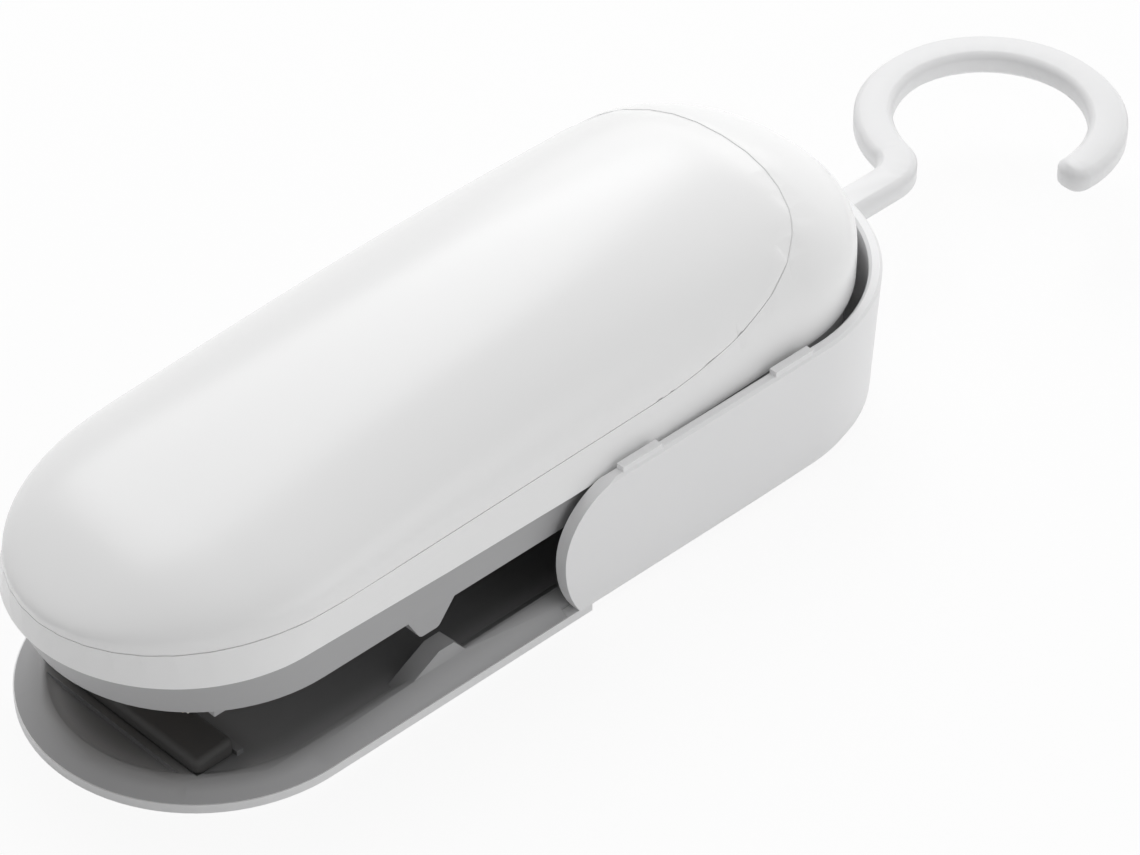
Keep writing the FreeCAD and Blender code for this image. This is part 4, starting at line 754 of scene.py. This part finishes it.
def rounded_tip(joined, sizes):
    """Cut back the flat end of the hook's strip and turn its section round the middle of the strip."""
    start, outward, onward = tip_start(sizes)
    ring = cut_section(joined, start, outward, onward, sizes.hook_strip)
    offsets = [(vertex.co - start).dot(outward) for vertex in ring]
    half = (max(offsets) - min(offsets)) / 2
    places = [(vertex.co.copy(), offset - min(offsets) - half) for vertex, offset in zip(ring, offsets)]
    for step in range(1, TIP_STEPS + 1):
        angle = step / TIP_STEPS * pi / 2
        following = []
        for place, across in places:
            lead = tip_lead(abs(across), half, sizes.hook_cut, sizes.hook_tip_depth)
            turned = place - outward * across * (1 - cos(angle)) + onward * lead * sin(angle)
            following.append(joined.verts.new(turned))
        for index, vertex in enumerate(ring):
            after = (index + 1) % len(ring)
            joined.faces.new((vertex, ring[after], following[after], following[index]))
        ring = following
    bmesh.ops.remove_doubles(joined, verts=ring, dist=TIP_MERGE)
    bmesh.ops.recalc_face_normals(joined, faces=joined.faces)


class SEALER_OT_white_shells(bpy.types.Operator):
    """Dress the glossy lid and housing and the satin base and hook"""
    bl_idname = "sealer.white_shells"
    bl_label = "White shells"

    def execute(self, context):
        finish, sizes = context.scene.sealer_finish, context.scene.sealer_sizes
        gloss = finish_named("white_gloss", plastic, finish.shell_white, roughness=0.3,
                             coat=0.25, variation=0.015)
        satin = finish_named("white_satin", plastic, finish.base_white, roughness=0.42,
                             variation=0.02, scuffed=True)
        cover, skirt, strip = merged("top_lid"), merged("housing"), merged("hook")
        reach_into_seam(cover, sizes.seam_reach)
        for node, joined, body in (("top_lid", cover, "lid"), ("housing", skirt, "upper")):
            mesh = finer_mesh(plain_mesh(joined, node), sizes.smooth_angle)
            dressed_piece(node, mesh, gloss, body,
                          sizes.seam_bevel, sizes.smooth_angle)
        mesh = plain_mesh(merged("base_shell"), "base_shell")
        dressed_piece("base_shell", mesh, satin, "base",
                      sizes.edge_bevel, sizes.smooth_angle)
        rounded_tip(strip, sizes)
        dressed_hook(plain_mesh(strip, "hook"), satin, sizes.hook_smooth_angle)
        return {"FINISHED"}


class SEALER_OT_grey_jaws(bpy.types.Operator):
    """Dress the upper frame and the lower tray"""
    bl_idname = "sealer.grey_jaws"
    bl_label = "Grey jaws"

    def execute(self, context):
        finish, sizes = context.scene.sealer_finish, context.scene.sealer_sizes
        grey = finish_named("grey_satin", plastic, finish.jaw_grey, roughness=0.45, variation=0.04)
        # The tray's dish has painted shade at its floor
        dished = finish_named("grey_dish", plastic_with_painted_dish_shade, finish.jaw_grey, roughness=0.5,
                              sizes=sizes, floor_share=finish.dish_painted_shade_share)
        mesh = plain_mesh(merged("upper_frame"), "upper_frame")
        dressed_piece("upper_frame", mesh, grey, "upper",
                      sizes.edge_bevel, sizes.smooth_angle)
        mesh = flat_mesh(merged("lower_tray"), "lower_tray")
        dressed_piece("lower_tray", mesh, dished, "base",
                      sizes.tray_bevel, sizes.tray_smooth_angle)
        return {"FINISHED"}


class SEALER_OT_heater(bpy.types.Operator):
    """Dress the heater block, its strip and tape, and the silicone pad"""
    bl_idname = "sealer.heater"
    bl_label = "Heater and pad"

    def execute(self, context):
        finish, sizes = context.scene.sealer_finish, context.scene.sealer_sizes
        block = finish_named("heat_proof_block", plastic, finish.block_colour, roughness=0.6, variation=0.08)
        paint("heater_block", block)
        paint("heating_strip", finish_named("bright_strip", metal, STRIP_METAL, roughness=0.3))
        paint("cover_tape", finish_named("coated_cloth", glass_cloth, finish.tape_colour))
        rubber = finish_named("silicone", plastic, finish.pad_colour, roughness=0.7,
                              grain_scale=1200.0, variation=0.1)
        mesh = flat_mesh(merged("silicone_pad"), "silicone_pad")
        dressed_piece("silicone_pad", mesh, rubber, "base",
                      sizes.pad_bevel, sizes.smooth_angle, segments=4)
        return {"FINISHED"}


class SEALER_OT_power(bpy.types.Operator):
    """Dress the cells, contacts, switch, leads, pin and screws"""
    bl_idname = "sealer.power"
    bl_label = "Power and fixings"

    def execute(self, context):
        finish = context.scene.sealer_finish
        for node in ("cell_left", "cell_right"):
            low, high = (corner.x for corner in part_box(node))
            sleeve = finish_named(f"{node}_sleeve", cell_sleeve, finish.cell_colour,
                                  low=low + SLEEVE_RIM, high=high - SLEEVE_RIM)
            paint(node, sleeve)
        for node in ("positive_contact", "negative_contact", "bridge_contact"):
            paint(node, nickel_plate())
        for node in ("hinge_pin", "housing_screws"):
            paint(node, bright_steel())
        switch = finish_named("switch_black", plastic, SWITCH_BLACK, roughness=0.5, variation=0.2)
        paint("switch_body", switch)
        paint("switch_plunger", finish_named("plunger_white", plastic, finish.base_white, roughness=0.5))
        red = finish_named("lead_red", plastic, LEAD_RED, roughness=0.5, variation=0.1)
        paint("lead_positive", red)
        black = finish_named("lead_black", plastic, LEAD_BLACK, roughness=0.5, variation=0.2)
        for node in ("lead_switch", "lead_negative"):
            paint(node, black)
        return {"FINISHED"}


# Springs, wound by one node tree

def spring_tree():
    """Node tree that winds a round wire into a coil along Z, then turns and moves it to its seat."""
    tree = bpy.data.node_groups.new("wound_spring", "GeometryNodeTree")
    for label, kind in SPRING_INPUTS.items():
        tree.interface.new_socket(label, in_out="INPUT", socket_type=kind)
    tree.interface.new_socket("Geometry", in_out="OUTPUT", socket_type="NodeSocketGeometry")
    given = tree.nodes.new("NodeGroupInput")
    result = tree.nodes.new("NodeGroupOutput")
    helix = tree.nodes.new("GeometryNodeCurveSpiral")
    helix.inputs["Resolution"].default_value = COIL_POINTS
    for label, socket in (("Radius", "Start Radius"), ("Radius", "End Radius"), ("Rise", "Height"),
                          ("Turns", "Rotations")):
        tree.links.new(given.outputs[label], helix.inputs[socket])
    section = tree.nodes.new("GeometryNodeCurvePrimitiveCircle")
    section.inputs["Resolution"].default_value = WIRE_POINTS
    tree.links.new(given.outputs["Wire"], section.inputs["Radius"])
    tube = tree.nodes.new("GeometryNodeCurveToMesh")
    tube.inputs["Fill Caps"].default_value = True
    tree.links.new(helix.outputs["Curve"], tube.inputs["Curve"])
    tree.links.new(section.outputs["Curve"], tube.inputs["Profile Curve"])
    seated = tree.nodes.new("GeometryNodeTransform")
    tree.links.new(tube.outputs["Mesh"], seated.inputs["Geometry"])
    tree.links.new(given.outputs["Seat"], seated.inputs["Translation"])
    tree.links.new(given.outputs["Turn"], seated.inputs["Rotation"])
    realize = tree.nodes.new("GeometryNodeRealizeInstances")
    tree.links.new(seated.outputs["Geometry"], realize.inputs["Geometry"])
    finish = tree.nodes.new("GeometryNodeSetMaterial")
    tree.links.new(realize.outputs["Geometry"], finish.inputs["Geometry"])
    tree.links.new(given.outputs["Material"], finish.inputs["Material"])
    tree.links.new(finish.outputs["Geometry"], result.inputs["Geometry"])
    return tree


def wound_mesh(name, values):
    """Plain mesh of one coil; values are the tree's named inputs."""
    tree = bpy.data.node_groups.get("wound_spring") or spring_tree()
    carrier = bpy.data.objects.new(name, bpy.data.meshes.new(name))
    bpy.context.scene.collection.objects.link(carrier)
    winding = carrier.modifiers.new("winding", "NODES")
    winding.node_group = tree
    sockets = {item.name: item.identifier for item in tree.interface.items_tree if item.in_out == "INPUT"}
    for label, value in values.items():
        winding[sockets[label]] = value
    seen = carrier.evaluated_get(bpy.context.evaluated_depsgraph_get())
    mesh = bpy.data.meshes.new_from_object(seen)
    bpy.data.objects.remove(carrier)
    smooth_all(mesh)
    return mesh


class SEALER_OT_springs(bpy.types.Operator):
    """Wind the return spring and the two contact coils"""
    bl_idname = "sealer.springs"
    bl_label = "Springs"

    def execute(self, context):
        sizes = context.scene.sealer_sizes
        steel = bright_steel()
        low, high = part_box("return_spring")
        middle = (low + high) / 2
        wire = sizes.spring_wire
        mesh = wound_mesh("return_spring_coil", {
            "Radius": sizes.spring_radius, "Wire": wire, "Rise": high.z - low.z - 2 * wire,
            "Turns": sizes.spring_turns, "Seat": (middle.x, middle.y, low.z + wire),
            "Turn": (0.0, 0.0, 0.0), "Material": steel})
        spring = link_piece("return_spring_coil", mesh, steel, "base", ["return_spring"])
        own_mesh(spring)
        self.contact_coils(sizes, nickel_plate())
        return {"FINISHED"}

    def contact_coils(self, sizes, plated):
        low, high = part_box("contact_springs")
        rise = COIL_PITCH * sizes.coil_turns
        wire = sizes.coil_wire
        middle_z = (low.z + high.z) / 2
        both = bmesh.new()
        for seat_x, seat_y in ((low.x + wire, low.y + sizes.coil_radius + wire),
                               (high.x - wire - rise, high.y - sizes.coil_radius - wire)):
            mesh = wound_mesh("contact_coil", {
                "Radius": sizes.coil_radius, "Wire": wire, "Rise": rise, "Turns": sizes.coil_turns,
                "Seat": (seat_x, seat_y, middle_z), "Turn": (0.0, pi / 2, 0.0), "Material": plated})
            both.from_mesh(mesh)
        joined = bpy.data.meshes.new("contact_coils")
        both.to_mesh(joined)
        both.free()
        smooth_all(joined)
        link_piece("contact_coils", joined, plated, "upper", ["contact_springs"])


# Stage

def floor_material(colour, glow):
    """Pale floor that the camera sees mostly as plain white, with the object's shadow on it."""
    material, tree, shader = new_material("pale_floor")
    skin = place_group(tree, "moulded_skin", Tint=opaque(colour), Grain_Scale=300.0,
                       Roughness=0.8, Variation=0.01)
    lay_skin(tree, shader, skin.outputs["Color"], skin)
    white = tree.nodes.new("ShaderNodeEmission")
    white.inputs["Strength"].default_value = 1.0
    mix = tree.nodes.new("ShaderNodeMixShader")
    tree.links.new(maths(tree, "MULTIPLY", white_rays(tree), glow), mix.inputs["Fac"])
    tree.links.new(shader.outputs["BSDF"], mix.inputs[1])
    tree.links.new(white.outputs["Emission"], mix.inputs[2])
    tree.links.new(mix.outputs["Shader"], tree.nodes["Material Output"].inputs["Surface"])
    return material


def white_world(ambient, tilt):
    """Soft light from all round, stronger from +X; the camera, gloss and clear parts see plain white."""
    world = bpy.data.worlds.new("studio")
    bpy.context.scene.world = world
    world.use_nodes = True
    tree = world.node_tree
    heading = tree.nodes.new("ShaderNodeTexCoord").outputs["Generated"]
    towards_hook = place_parts(tree, heading)["X"]
    leaning = maths(tree, "ADD", maths(tree, "MULTIPLY", towards_hook, tilt * ambient), ambient)
    strength = maths(tree, "MAXIMUM", leaning, white_rays(tree))
    background = tree.nodes["Background"]
    background.inputs["Color"].default_value = (1.0, 1.0, 1.0, 1.0)
    tree.links.new(strength, background.inputs["Strength"])


def soft_light(name, power, size, place):
    """Panel of light that hangs at a place and faces the part."""
    data = bpy.data.lights.new(name, "AREA")
    data.energy = power
    data.shape = "RECTANGLE"
    data.size, data.size_y = size
    light = bpy.data.objects.new(name, data)
    bpy.context.scene.collection.objects.link(light)
    facing = (LIGHT_TARGET - place).to_track_quat("-Z", "Y").to_matrix()
    light.matrix_world = Matrix.Translation(place) @ facing.to_4x4()


class SEALER_OT_stage(bpy.types.Operator):
    """Set the floor, the soft lights and the photograph's camera"""
    bl_idname = "sealer.stage"
    bl_label = "Stage"

    def execute(self, context):
        stage = context.scene.sealer_stage
        floor = bpy.data.meshes.new("floor")
        corners = [(x * FLOOR_REACH, y * FLOOR_REACH, 0.0) for x, y in ((-1, -1), (1, -1), (1, 1), (-1, 1))]
        floor.from_pydata(corners, [], [(0, 1, 2, 3)])
        floor.materials.append(floor_material(stage.floor_white, stage.floor_glow))
        ground = bpy.data.objects.new("floor", floor)
        ground.location.z = -FLOOR_DROP
        context.scene.collection.objects.link(ground)
        white_world(stage.ambient, stage.ambient_tilt)
        for name, (power, size, place) in LIGHTS.items():
            soft_light(name, getattr(stage, power), size, place)
        self.camera(context)
        return {"FINISHED"}

    def camera(self, context):
        data = bpy.data.cameras.new("photo_camera")
        data.lens = CAMERA_LENS
        data.sensor_width = CAMERA_SENSOR
        data.sensor_fit = "HORIZONTAL"
        data.clip_start = CAMERA_NEAR
        data.clip_end = CAMERA_FAR
        camera = bpy.data.objects.new("photo_camera", data)
        context.scene.collection.objects.link(camera)
        axes = Matrix((CAMERA_RIGHT, CAMERA_BACK.cross(CAMERA_RIGHT), CAMERA_BACK)).transposed()
        camera.matrix_world = Matrix.Translation(CAMERA_PLACE) @ axes.to_4x4()
        context.scene.camera = camera
        context.scene.view_settings.view_transform = "Standard"


# Panel and registration

class SEALER_PT_panel(bpy.types.Panel):
    """Lists the pieces of the bag sealer and their settings"""
    bl_idname = "SEALER_PT_panel"
    bl_label = "Bag sealer"
    bl_space_type = "VIEW_3D"
    bl_region_type = "UI"
    bl_category = "Bag sealer"

    def draw(self, context):
        for operator in OPERATORS:
            self.layout.operator(operator.bl_idname)
        for settings in SETTINGS:
            group = getattr(context.scene, settings)
            for name in group.__annotations__:
                self.layout.prop(group, name)


OPERATORS = (SEALER_OT_white_shells, SEALER_OT_grey_jaws, SEALER_OT_heater,
             SEALER_OT_power, SEALER_OT_springs, SEALER_OT_stage)
SETTINGS = {"sealer_finish": SealerFinish, "sealer_sizes": SealerSizes, "sealer_stage": SealerStage}


def register():
    for cls in (*SETTINGS.values(), *OPERATORS, SEALER_PT_panel):
        bpy.utils.register_class(cls)
    for name, group in SETTINGS.items():
        setattr(bpy.types.Scene, name, bpy.props.PointerProperty(type=group))


def unregister():
    for name in SETTINGS:
        delattr(bpy.types.Scene, name)
    for cls in (SEALER_PT_panel, *reversed(OPERATORS), *reversed(list(SETTINGS.values()))):
        bpy.utils.unregister_class(cls)


def main():
    register()
    bpy.ops.sealer.white_shells()
    bpy.ops.sealer.grey_jaws()
    bpy.ops.sealer.heater()
    bpy.ops.sealer.power()
    bpy.ops.sealer.springs()
    bpy.ops.sealer.stage()


if __name__ == "__main__":
    main()
